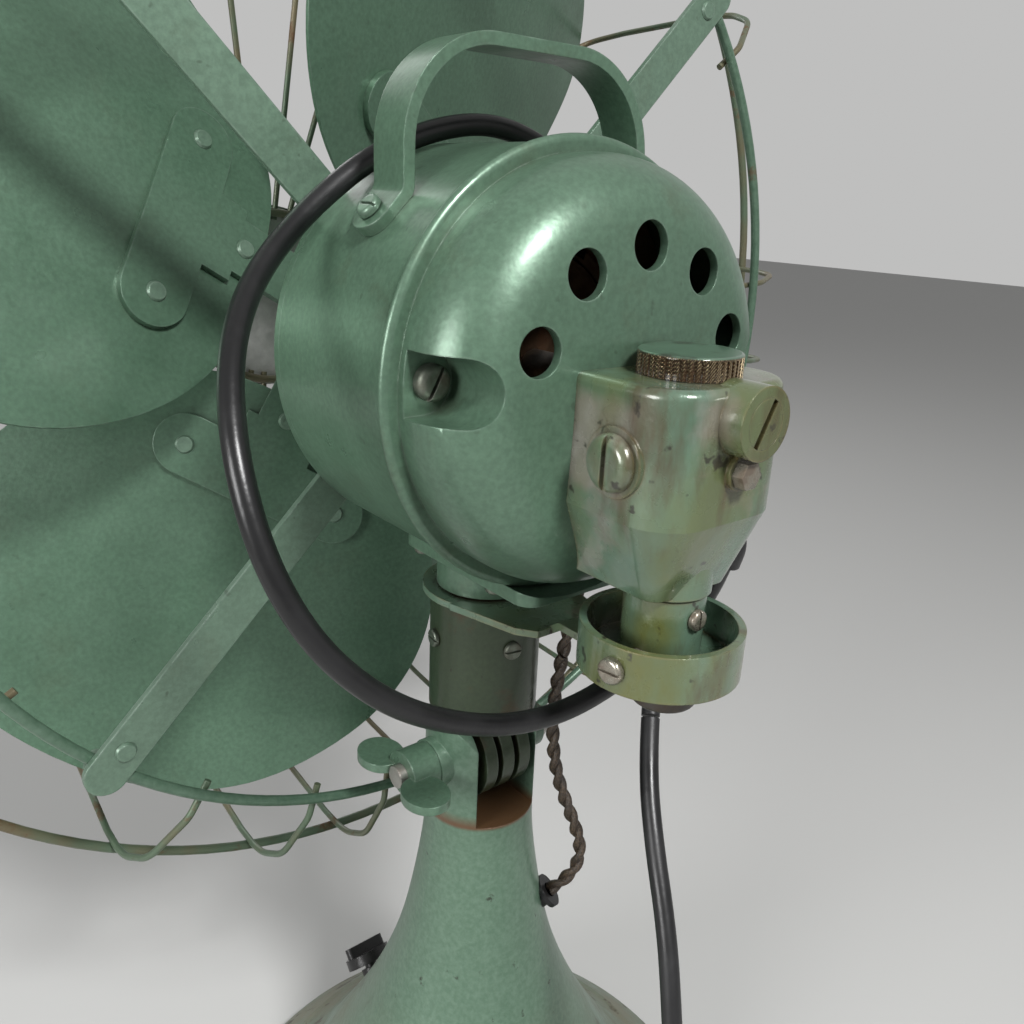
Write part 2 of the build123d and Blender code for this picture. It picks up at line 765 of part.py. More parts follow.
with BuildPart() as gearbox_housing:
    with BuildSketch(facing_up(box_taper_top)) as box_section:
        with Locations((0, (dome_straight + box_rear) / 2)):
            RectangleRounded(2 * box_half_width, box_rear - dome_straight, box_corner)
        with Locations((0, dome_straight + 12.0)):
            Rectangle(2 * box_half_width, 24.0)
    extrude(amount=box_top - box_taper_top)
    fillet(gearbox_housing.faces().sort_by(Axis.Z)[-1].edges(), radius=2.4)
    taper_height = box_taper_top - nose_bottom - 1.0
    taper_angle = degrees(atan2(box_taper, taper_height))
    extrude(box_section.sketch, amount=-taper_height, taper=taper_angle)
    # round nose for the crank shaft and ring for the thrust plug
    peg(facing_up(nose_bottom, y=crank_y), 12.5, 16.0)
    peg(facing_rear(ring_front), thrust_ring_radius, box_rear + 6.6 - ring_front)
    peg(facing_rear(box_rear - 4.0, z=level_z), level_hex_radius + 0.8, 5.4)
    for side in (-1, 1):
        peg(facing_side(side * (box_half_width - 2.0), crank_y, cross_z, side), side_plug_radius + 1.6, 2.8)
    # gear chamber, open towards the dome, with the corners of the box
    with BuildSketch(facing_up(cavity_bottom)):
        with Locations((0, (dome_straight + cavity_rear) / 2)):
            RectangleRounded(2 * cavity_half_width, cavity_rear - dome_straight, box_corner - box_wall)
        with Locations((0, dome_straight + 12.0)):
            Rectangle(2 * cavity_half_width, 24.0)
    extrude(amount=cavity_top - cavity_bottom, mode=Mode.SUBTRACT)
    add(dome_outside, mode=Mode.SUBTRACT)
    drill(facing_up(cavity_bottom + 1.0, y=crank_y), crank_shaft_radius + slide_fit, 60.0)
    drill(facing_up(box_top, y=crank_y), 9.0 + slide_fit, box_top - cavity_top)
    drill(facing_rear(box_rear + 10.0), 6.4, 20.0)
    drill(facing_rear(box_rear + 10.0, z=level_z), 2.4, 20.0)
    for side in (-1, 1):
        drill(facing_side(side * (box_half_width + 4.0), crank_y, cross_z, side), 5.2, 12.0)
finish(gearbox_housing.part, "gearbox_housing")

thrust_face = box_rear + 6.4
with BuildPart() as thrust_plug:
    peg(facing_rear(shaft_rear + 0.1), 6.4, thrust_face + 0.2 - shaft_rear - 0.1)
    with BuildSketch(facing_rear(thrust_face + 0.2)):
        Rectangle(13.0, 1.8, rotation=62.0)
    extrude(amount=-1.6, mode=Mode.SUBTRACT)
finish(thrust_plug.part, "thrust_plug")

with BuildPart() as level_screw:
    with BuildSketch(facing_rear(box_rear + 1.4, z=level_z)):
        RegularPolygon(level_hex_radius, 6)
    extrude(amount=3.2)
    peg(facing_front(box_rear + 1.4, z=level_z), 2.4, 4.6)
finish(level_screw.part, "level_screw")

side_plugs = []
for side in (-1, 1):
    pad = facing_side(side * (box_half_width + 0.8), crank_y, cross_z, side)
    side_plug = slotted_screw(pad, side_plug_radius, 3.4, 5.2, box_wall + 0.8, dome=0.9, turn=90.0)
    with BuildPart() as bored_plug:
        add(side_plug)
        shaft_end = facing_side(side * (cross_end + 0.2), crank_y, cross_z, side)
        drill(shaft_end, cross_shaft_radius + slide_fit, 6.0)
    side_plugs.append(bored_plug.part)
gather("cross_shaft_plugs", side_plugs)

with BuildPart() as filler_cap:
    with BuildSketch(facing_up(box_top + 0.1, y=crank_y)):
        Circle(cap_radius)
    extrude(amount=cap_height)
    fillet(filler_cap.edges().sort_by(Axis.Z)[-1], radius=0.8)
    with BuildSketch(facing_up(box_top + 0.1, y=crank_y)):
        with PolarLocations(cap_radius, 48):
            Circle(0.42)
    extrude(amount=cap_height - 0.9, mode=Mode.SUBTRACT)
    peg(facing_down(box_top + 0.1, y=crank_y), 9.0, box_top - cavity_top - 0.2)
finish(filler_cap.part, "filler_cap")

# ================================================================ crank under the gearbox
cup_bottom = cup_rim_z - cup_height
hub_top = nose_bottom - 0.8
flange_z = crown_bottom + crown_thickness + 0.1
pin_boss_z = strap_z + strap_joggle + strap_thickness + 0.3
crank_top = flange_z + 1.4

with BuildPart() as crank_shaft:
    peg(facing_up(cup_bottom + 8.0, y=crank_y), crank_shaft_radius, crank_top - cup_bottom - 8.0)
    peg(facing_up(flange_z, y=crank_y), 6.6, crank_top - flange_z)
finish(crank_shaft.part, "crank_shaft")

with BuildPart() as clutch_spring:
    with BuildSketch(Plane(origin=(0, crank_y, 0), x_dir=(1, 0, 0), z_dir=(0, -1, 0))):
        with BuildLine():
            Polyline(
                (crank_shaft_radius, crown_bottom - 1.2),
                (8.6, crown_bottom - 3.4),
                (8.6, crown_bottom - 2.4),
                (crank_shaft_radius, crown_bottom - 0.2),
                close=True,
            )
        make_face()
    revolve(axis=Axis((0, crank_y, 0), (0, 0, 1)))
finish(clutch_spring.part, "clutch_spring")

set_screw_z = motor_height - 57.0
with BuildPart() as crank_cup:
    with BuildSketch(facing_up(cup_bottom, y=crank_y)):
        Circle(cup_radius)
    extrude(amount=cup_height)
    with BuildSketch(facing_up(cup_bottom + cup_floor, y=crank_y)):
        Circle(cup_radius - cup_wall)
        Circle(hub_radius, mode=Mode.SUBTRACT)
    extrude(amount=cup_height, mode=Mode.SUBTRACT)
    peg(facing_up(cup_bottom + cup_floor, y=crank_y), hub_radius, hub_top - cup_bottom - cup_floor)
    peg(facing_up(pin_boss_z, -crank_throw, crank_y), 7.0, cup_bottom - pin_boss_z + 0.1)
    drill(facing_up(hub_top, y=crank_y), crank_shaft_radius, hub_top - cup_bottom - 8.0)
    drill(facing_up(cup_bottom + 7.0, -crank_throw, crank_y), 2.8, 20.0)
    with Locations(Plane(origin=(0, crank_y, set_screw_z), z_dir=(0, 1, 0)).location):
        Cylinder(2.4, hub_radius, align=(Align.CENTER, Align.CENTER, Align.MIN), mode=Mode.SUBTRACT)
    clutch_hole = Plane(origin=(0, crank_y, cup_bottom + 6.6), z_dir=(0.98, 0.17, 0))
    with Locations(clutch_hole.location):
        Cylinder(2.0, cup_radius, align=(Align.CENTER, Align.CENTER, Align.MIN), mode=Mode.SUBTRACT)
finish(crank_cup.part, "crank_cup")

set_screw_plane = Plane(origin=(0, crank_y + hub_radius, set_screw_z), z_dir=(0, 1, 0))
set_screw = slotted_screw(set_screw_plane, 3.0, 1.8, 2.4, hub_radius - crank_shaft_radius - 0.1)
finish(set_screw, "crank_set_screw")
clutch_head_plane = clutch_hole.offset(cup_radius)
clutch_screw = slotted_screw(clutch_head_plane, 3.75, 2.2, 2.0, cup_radius - hub_radius + 1.0)
finish(clutch_screw, "clutch_screw")

pin_head_top = strap_z + strap_joggle - 0.3
with BuildPart() as crank_pin:
    with BuildSketch(facing_down(pin_head_top, -crank_throw, crank_y)):
        Circle(pin_radius)
    extrude(amount=9.0)
    fillet(crank_pin.edges().sort_by(Axis.Z)[0], radius=1.4)
    peg(facing_up(pin_head_top, -crank_throw, crank_y), strap_pin_radius, pin_boss_z - pin_head_top)
    peg(facing_up(pin_boss_z, -crank_throw, crank_y), 2.8, cup_bottom + 6.8 - pin_boss_z)
finish(crank_pin.part, "crank_pin")

# link strap: wide eye round the eccentric boss of the post, joggled up to the crank pin
arm_half = 7.0
with BuildPart() as link_strap:
    with BuildSketch(facing_up(strap_z)):
        with Locations((-2.0, 0)):
            Circle(strap_eye_radius)
        with BuildLine():
            Polyline(
                (-25.0, 8.0), (-19.0, 32.0), (-11.5, 40.0), (10.5, 40.0), (15.0, 34.0), (21.5, 8.0),
                close=True,
            )
        make_face()
        with Locations((-boss_offset, 0)):
            Circle(boss_radius + boss_clearance, mode=Mode.SUBTRACT)
    extrude(amount=strap_thickness)
    with BuildSketch(facing_side(-arm_half - crank_throw / 2, z=0)):
        with BuildLine():
            Polyline(
                (38.0, strap_z),
                (40.0, strap_z),
                (44.0, strap_z + strap_joggle),
                (crank_y, strap_z + strap_joggle),
                (crank_y, strap_z + strap_joggle + strap_thickness),
                (43.0, strap_z + strap_joggle + strap_thickness),
                (39.0, strap_z + strap_thickness),
                (38.0, strap_z + strap_thickness),
                close=True,
            )
        make_face()
    extrude(amount=2 * arm_half)
    peg(facing_up(strap_z + strap_joggle, -crank_throw, crank_y), arm_half + 1.5, strap_thickness)
    drill(facing_up(300.0, -crank_throw, crank_y), strap_pin_radius + slide_fit, 40.0)
finish(link_strap.part, "link_strap")

# ================================================================ handle
handle_width = 15.0
handle_thickness = 3.5
handle_top = 90.0 - handle_thickness / 2
handle_half = 45.0 - handle_thickness / 2
foot_angle = radians(35.5)
foot_radius = motor_radius + handle_thickness / 2
foot = (foot_radius * cos(foot_angle), foot_radius * sin(foot_angle))
knee = (handle_half, sqrt(foot_radius**2 - handle_half**2))

with BuildPart() as handle:
    with BuildSketch(facing_front(handle_y + handle_width / 2)):
        with BuildLine():
            FilletPolyline(foot, knee, (handle_half, handle_top), (0, handle_top), radius=[5.0, 28.0])
        trace(line_width=handle_thickness)
        mirror(about=Plane.YZ)
    extrude(amount=handle_width)
    foot_corners = handle.edges().filter_by(Axis.Y, reverse=True).filter_by(GeomType.LINE)
    foot_corners = foot_corners.filter_by(lambda edge: edge.length < handle_thickness + 0.1)
    fillet(foot_corners.sort_by(Axis.Z)[:4], radius=handle_width / 2 - 0.4)
    drill(facing_rear(40.0), motor_radius, 80.0)
    for angle in handle_screw_angles:
        drill(round_shaft(handle_y, motor_radius + 8.0, angle), 2.0, 12.0)
finish(handle.part, "handle")

handle_screws = [
    slotted_screw(
        round_shaft(handle_y, motor_radius + handle_thickness, angle),
        3.6,
        2.2,
        2.0,
        handle_thickness + shell_wall,
    )
    for angle in handle_screw_angles
]
gather("handle_screws", handle_screws)

# ================================================================ blades
arm_angle = radians(first_arm)
arm_out = Vector(cos(arm_angle), 0, sin(arm_angle))
arm_across = Vector(-sin(arm_angle), 0, cos(arm_angle))
lean = radians(blade_pitch)
chord_scale = 1 / cos(lean)
arm_chord = arm_across * cos(lean) - Vector(0, 1, 0) * sin(lean)
arm_normal = arm_out.cross(arm_chord)
arm_origin = Vector(0, rotor_y, motor_height)
arm_plane = Plane(origin=arm_origin, x_dir=arm_out, z_dir=arm_normal)
chord_plane = Plane(origin=arm_origin, x_dir=arm_chord, z_dir=arm_out)
blade_outline = [
    (38, 0), (40, -30), (50, -52), (71, -72), (100, -84), (135, -83), (165, -69), (190, -46),
    (202, -20), (205, 5), (202, 35), (192, 62), (172, 82), (140, 86), (105, 84), (80, 72), (58, 52), (42, 28),
]


def camber_height(across, radius=blade_camber_radius):
    """How far the cambered sheet stands in front of the flat plane at a distance from the arm."""
    return radius - sqrt(radius**2 - across**2)


def camber_shell(inner_radius, outer_radius, half_width, start, length):
    """Curved sheet along the arm, between two radii of the camber."""
    with BuildPart() as shell:
        with BuildSketch(chord_plane.offset(start)):
            with BuildLine():
                ends = []
                for radius in (inner_radius, outer_radius):
                    rise = blade_camber_radius - sqrt(radius**2 - half_width**2)
                    ends.append(((-half_width, rise), (0, blade_camber_radius - radius), (half_width, rise)))
                ThreePointArc(*ends[0])
                ThreePointArc(*ends[1])
                Line(ends[0][0], ends[1][0])
                Line(ends[0][2], ends[1][2])
            make_face()
        extrude(amount=length)
    return shell.part


rivet_points = [(73.5, 27.4 * chord_scale), (72.9, -29.8 * chord_scale), (stem_rivet_radial, 0.0)]
rivet_planes = []
for radial, across in rivet_points:
    tip = degrees(asin(across / blade_camber_radius))
    seat = arm_plane.location * Location((radial, across, camber_height(across)), (tip, 0, 0))
    rivet_planes.append(Plane(seat))

blade_sheet = camber_shell(blade_camber_radius - blade_thickness, blade_camber_radius, 100.0, 20.0, 200.0)
with BuildPart() as blade:
    with BuildSketch(arm_plane.offset(-4.0)):
        with BuildLine():
            Spline(*[(radial, across * chord_scale) for radial, across in blade_outline], periodic=True)
        make_face()
    extrude(amount=30.0)
    add(blade_sheet, mode=Mode.INTERSECT)
    for plane in rivet_planes:
        drill(plane.offset(10.0), rivet_radius, 20.0)

spider_sheet = camber_shell(blade_camber_radius, blade_camber_radius + spider_thickness, 60.0, 0.0, 120.0)
with BuildPart() as spider_arm:
    with BuildSketch(arm_plane.offset(-6.0)):
        with Locations((42.0, 0)):
            Rectangle(66.0, 22.0)
        with Locations((ear_radial, -1.3 * chord_scale)):
            SlotCenterToCenter(2 * ear_side * chord_scale, 2 * ear_radius, rotation=90)
        with Locations((ear_radial - 16.0, 0)):
            Rectangle(14.0, 30.0)
    extrude(amount=12.0)
    add(spider_sheet, mode=Mode.INTERSECT)
    for plane in rivet_planes:
        drill(plane.offset(10.0), rivet_radius, 20.0)

arm_rivets = []
for plane in rivet_planes:
    arm_rivets.append(
        rivet(
            plane.offset(blade_thickness + 0.02),
            blade_thickness + spider_thickness + 0.02,
            rivet_radius,
            rivet_head_radius,
            rivet_head_height,
        )
    )

arm_turns = [360.0 / blade_count * arm for arm in range(blade_count)]
gather("fan_blades", [blade.part.rotate(motor_axis, turn) for turn in arm_turns])
gather("blade_rivets", [piece.rotate(motor_axis, turn) for turn in arm_turns for piece in arm_rivets])

hub_rear = rotor_y + 15.0
hub_screw_y = hub_rear - 3.8
hub_screw_angle = first_arm + 45.0
turned_arms = [spider_arm.part.rotate(motor_axis, turn) for turn in arm_turns]
with BuildPart() as spider_hub:
    peg(facing_front(hub_rear), spider_hub_radius, spider_hub_length)
    for arm in turned_arms:
        add(arm)
    drill(facing_front(rotor_y - 60.0), shaft_radius, 120.0)
    drill(round_shaft(hub_screw_y, spider_hub_radius + 1.0, hub_screw_angle), 2.4, 12.0)
finish(spider_hub.part, "spider_hub")
hub_screw_plane = round_shaft(hub_screw_y, spider_hub_radius, hub_screw_angle)
finish(slotted_screw(hub_screw_plane, 3.4, 2.6, 2.4, spider_hub_radius - shaft_radius), "hub_screw")

# ================================================================ guard
strut_front = front_y - strut_thickness
ring_y = strut_front - rear_ring_wire
wire_start_y = ring_y - rear_ring_wire - guard_wire


def wire_ring(radius, y, wire):
    """Round wire bent into a ring round the motor shaft."""
    with BuildPart() as ring:
        with BuildSketch(motor_section):
            with Locations((y, radius)):
                Circle(wire)
        revolve(axis=motor_axis)
    return ring.part


finish(wire_ring(rear_ring_radius, ring_y, rear_ring_wire), "guard_rear_ring")
front_ring = guard_rim_radius + guard_wire + front_ring_wire
finish(wire_ring(front_ring, front_ring_y, front_ring_wire), "guard_front_ring")

wire_points = [
    (wire_start_y, rear_ring_radius - 4.0),
    (wire_start_y, rear_ring_radius + 10.0),
    (-44.6, guard_rim_radius - 8.7),
    (-58.0, guard_rim_radius - 1.3),
    (-66.0, guard_rim_radius),
    (-78.0, guard_rim_radius),
    (-122.0, guard_rim_radius - 4.2),
    (guard_face_y, guard_face_radius),
    (guard_face_y - 14.0, nose_ring_radius - 3.0),
]
wire_bends = [12.0, 16.0, 20.0, 24.0, 24.0, 30.0, 24.0]
face_slope = atan2(14.0, guard_face_radius - nose_ring_radius + 3.0)
nose_wire_y = guard_face_y - 14.0 + 3.0 * tan(face_slope)
nose_ring_y = nose_wire_y + (guard_wire + nose_ring_wire) / cos(face_slope)
finish(wire_ring(nose_ring_radius, nose_ring_y, nose_ring_wire), "guard_nose_ring")

with BuildPart() as one_wire:
    with BuildLine(motor_section) as wire_line:
        FilletPolyline(*wire_points, radius=wire_bends)
    with BuildSketch(Plane(origin=wire_line.line @ 0, z_dir=wire_line.line % 0)):
        Circle(guard_wire)
    sweep()

wire_angles = []
for quadrant in strut_angles:
    offsets = open_quadrant_wires if quadrant == 135.0 else quadrant_wires
    wire_angles += [quadrant + offset for offset in offsets]
# the first wire stands straight above the shaft; an angle is counted from +X towards +Z
gather("guard_wires", [one_wire.part.rotate(motor_axis, 90.0 - angle) for angle in wire_angles])

wire_end_radius = nose_ring_radius - 3.0
badge_back = guard_face_y - 14.0 - guard_wire / cos(face_slope)
badge_rim = badge_back + (badge_radius - wire_end_radius) * tan(face_slope)
finish(
    revolved([
        (badge_back, 0),
        (badge_back, wire_end_radius),
        (badge_rim, badge_radius),
        (badge_rim - 1.2, badge_radius),
        (badge_back - 2.4, badge_radius - 4.0),
        (badge_back - 2.4, 0),
    ]),
    "guard_badge",
)

# straps from the front plate to the rear ring
strut_parts = []
rivet_parts = []
for angle in strut_angles:
    with BuildPart() as strut:
        with BuildSketch(facing_front(front_y)):
            with PolarLocations((strut_inner + strut_outer) / 2, 1, start_angle=angle):
                SlotOverall(strut_outer - strut_inner, strut_width)
        extrude(amount=strut_thickness)
        for radial in (*inner_rivet_radials, strut_rivet_radial):
            x, z = radial * cos(radians(angle)), radial * sin(radians(angle))
            drill(facing_front(strut_front - 5.0, x, motor_height + z), rivet_radius, 20.0)
    strut_parts.append(strut.part)
    for radial in inner_rivet_radials:
        x, z = radial * cos(radians(angle)), radial * sin(radians(angle))
        plane = facing_front(strut_front, x, motor_height + z)
        rivet_parts.append(rivet(plane, strut_thickness + front_plate_thickness, rivet_radius, 3.4, 1.0))
    x, z = strut_rivet_radial * cos(radians(angle)), strut_rivet_radial * sin(radians(angle))
    plane = facing_front(strut_front - lug_thickness, x, motor_height + z)
    rivet_parts.append(rivet(plane, strut_thickness + lug_thickness, rivet_radius, 3.4, 1.0))

lug_inner = strut_rivet_radial - 5.0
hump = rear_ring_wire + lug_thickness
with BuildPart() as lug:
    with BuildSketch(Plane(origin=(-lug_width / 2, 0, motor_height), x_dir=(0, 1, 0), z_dir=(1, 0, 0))):
        with BuildLine():
            Polyline(
                (strut_front, lug_inner),
                (strut_front - lug_thickness, lug_inner),
                (strut_front - lug_thickness, rear_ring_radius - hump),
                (ring_y - 1.0, rear_ring_radius - hump),
                (ring_y - hump, rear_ring_radius - 1.6),
                (ring_y - hump, rear_ring_radius + 1.6),
                (ring_y - 1.0, rear_ring_radius + hump),
                (strut_front, rear_ring_radius + hump),
                close=True,
            )
        make_face()
        with Locations((strut_front, rear_ring_radius)):
            Rectangle(2 * rear_ring_wire, 2 * rear_ring_wire + 0.6, mode=Mode.SUBTRACT)
    extrude(amount=lug_width)
    add(wire_ring(rear_ring_radius, ring_y, rear_ring_wire), mode=Mode.SUBTRACT)
    drill(facing_front(strut_front - 5.0, z=motor_height + strut_rivet_radial), rivet_radius, 20.0)
lug_parts = [lug.part.rotate(motor_axis, 90.0 - angle) for angle in strut_angles]
gather("guard_struts", strut_parts)
gather("strut_rivets", rivet_parts)
gather("strut_lugs", lug_parts)

# ================================================================ mains cord and motor lead
# Corners of the routes in millimetres, rounded so that each bend takes most of its shorter run.
loop_route = [
    (-32, 74.3, 313), (-31, 71.3, 300), (-24, 62.3, 282), (-9, 56.3, 270), (12, 56.3, 267), (34, 56.3, 270),
    (56, 56.3, 279), (76, 55.3, 292), (92, 51.3, 310), (101, 45.3, 331), (103, 36.3, 353), (98, 22.3, 372),
    (88, 8.3, 386), (74, -3.7, 398), (56, -11.7, 411), (36, -14.7, 424), (14, -14.7, 433), (-8, -14.7, 436),
    (-30, -14.7, 430), (-50, -13.7, 418), (-66, -11.7, 400), (-76, -7.7, 376),
]
link_route = [
    (-76, -7.7, 376), (-81, -5.7, 364), (-83, -1.5, 344), (-80, 5.5, 322), (-72, 14.5, 301), (-61.5, 25, 281),
    (-50, 36.5, 261.5), (-37, 49, 243),
]
drop_route = [
    (-37, 49, 243), (-27.9, 57.75, 230.05), (-19, 71, 213), (-11, 87, 191), (-5, 97, 170), (-1, 105, 147),
    (1, 111, 123),
    (3, 116, 99), (4, 121, 77), (4, 127, 56), (3, 134, 37), (2, 143, 19), (1.0, 153, 7.5), (0.3, 164, 3.3),
    (0.3, 173, 3.3),
]
lead_upper_route = [(33.5, 310.0), (33.5, 298.0), (32.3, 285.0), (30.0, 272.0), (28.4, 259.0)]
lead_lower_route = [
    (28.4, 259.0), (26.8, 246.0), (26.4, 233.0), (27.1, 220.1), (29.2, 208.3), (32.9, 196.9), (37.1, 186.5),
    (40.5, 176.0), (40.2, 166.7), (36.0, 158.8), (29.6, 153.4),
]


def bend_radii(points):
    """Bend at each inner corner of a route, from the shorter of its two runs and its turn."""
    corners = [Vector(*point) for point in points]
    radii = []
    for before, corner, after in zip(corners, corners[1:], corners[2:]):
        arriving, leaving = corner - before, after - corner
        turn = radians(arriving.get_angle(leaving))
        radii.append(min(0.45 * min(arriving.length, leaving.length) / tan(turn / 2), 400.0))
    return radii


def tube(points, radius):
    """Round tube along straight runs joined by tangent arcs."""
    with BuildPart() as made:
        with BuildLine() as route:
            FilletPolyline(*points, radius=bend_radii(points))
        with BuildSketch(Plane(origin=route.line @ 0, z_dir=route.line % 0)):
            Circle(radius)
        sweep()
    length = sum(edge.length for edge in route.edges())
    print("least bend over diameter", round(min(bend_radii(points)) / (2 * radius), 2))
    print("volume over section times length", round(made.part.volume / (pi * radius**2 * length), 4))
    return made.part


finish(tube(loop_route, cord_radius), "cord_loop")
finish(tube(link_route, cord_radius), "cord_link")
finish(tube(drop_route, cord_radius), "cord_drop")
finish(tube([beside_neck(*point) for point in lead_upper_route], lead_radius), "lead_upper")
finish(tube([beside_neck(*point) for point in lead_lower_route], lead_radius), "lead_lower")

# rubber elbow that brings the cord out of the dome
gland_exit, gland_ahead = Vector(*loop_route[0]), Vector(*loop_route[1])
gland_corner = gland_exit + (gland_exit - gland_ahead) * (12.0 / 13.0)
gland_route = [Vector(gland_corner.X, 52.0, gland_corner.Z), gland_corner, gland_exit]
with BuildPart() as cord_gland:
    with BuildLine() as gland_line:
        FilletPolyline(*gland_route, radius=7.0)
    with BuildSketch(Plane(origin=gland_line.line @ 0, z_dir=gland_line.line % 0)):
        Circle(5.4)
    sweep()
    peg(facing_rear(52.0, x=gland_corner.X, z=gland_corner.Z), 8.0, 13.0)
    add(dome_outside, mode=Mode.SUBTRACT)
finish(cord_gland.part, "cord_gland")

# coil on the floor: spirals in, climbs a layer in the turn where it reverses, spirals out to the plug
coil_centre = (-40.0, 179.6)
coil_start = drop_route[-1]
coil_pitch = 7.2
coil_layers_z = (cord_radius, cord_radius + coil_pitch)
half_turns = 4
outer_turn = coil_start[0] - coil_centre[0]
turn_radii = [outer_turn - coil_pitch / 2 * half for half in range(half_turns + 1)]
turn_radii += turn_radii[::-1]
plug_reach = 8 * cord_radius


def coil_point(number):
    """Where a half turn starts: alternately right and left of the middle of the coil."""
    side = 1 if number % 2 == 0 else -1
    layer = coil_layers_z[0] if number <= half_turns else coil_layers_z[1]
    return Vector(coil_centre[0] + side * turn_radii[number], coil_centre[1], layer)


with BuildPart() as cord_coil:
    with BuildLine() as coil_line:
        Line(coil_start, coil_point(0))
        for number in range(len(turn_radii) - 1):
            first, last = coil_point(number), coil_point(number + 1)
            bulge = (last - first).length / 2 * (1 if number % 2 == 0 else -1)
            ThreePointArc(first, (first + last) / 2 + Vector(0, bulge, 0), last)
        coil_end = coil_point(len(turn_radii) - 1)
        Line(coil_end, coil_end - Vector(0, plug_reach, 0))
    with BuildSketch(Plane(origin=coil_line.line @ 0, z_dir=coil_line.line % 0)):
        Circle(cord_radius)
    sweep()
finish(cord_coil.part, "cord_coil")

plug_inlet = coil_end - Vector(0, plug_reach, 0)
plug_plane = Plane(origin=plug_inlet, x_dir=(1, 0, 0), z_dir=(0, -1, 0))
plug_radius = coil_layers_z[1] - 0.1
with BuildPart() as mains_plug:
    with BuildSketch(plug_plane):
        Circle(5.2)
    with BuildSketch(plug_plane.offset(12.0)):
        Circle(plug_radius)
    loft()
    peg(plug_plane.offset(12.0), plug_radius, 20.0)
    with BuildSketch(plug_plane.offset(32.0)):
        with Locations((-6.0, 0), (6.0, 0)):
            Circle(2.0)
    extrude(amount=17.0)
finish(mains_plug.part, "mains_plug")
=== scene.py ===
import bpy
from math import cos, pi, radians, sin
from mathutils import Matrix, Vector


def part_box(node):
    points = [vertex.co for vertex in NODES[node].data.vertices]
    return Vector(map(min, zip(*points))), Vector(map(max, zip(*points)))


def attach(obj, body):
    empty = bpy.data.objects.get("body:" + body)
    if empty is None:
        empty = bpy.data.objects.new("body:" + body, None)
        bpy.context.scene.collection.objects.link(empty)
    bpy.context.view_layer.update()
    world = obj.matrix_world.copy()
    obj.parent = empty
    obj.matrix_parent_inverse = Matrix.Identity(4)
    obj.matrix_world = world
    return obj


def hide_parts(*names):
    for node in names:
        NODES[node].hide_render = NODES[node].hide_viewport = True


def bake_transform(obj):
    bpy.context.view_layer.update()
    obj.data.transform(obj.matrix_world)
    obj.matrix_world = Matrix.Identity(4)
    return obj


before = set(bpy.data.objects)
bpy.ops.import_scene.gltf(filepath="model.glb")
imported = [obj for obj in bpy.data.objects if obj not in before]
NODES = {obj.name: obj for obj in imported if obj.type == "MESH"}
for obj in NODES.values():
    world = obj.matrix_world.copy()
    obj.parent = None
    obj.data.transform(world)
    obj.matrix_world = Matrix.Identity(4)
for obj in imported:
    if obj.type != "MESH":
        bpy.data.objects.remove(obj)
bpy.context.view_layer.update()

# Oscillating desk fan seen from behind. Metres, in the frame of the CAD model.

MM = 0.001


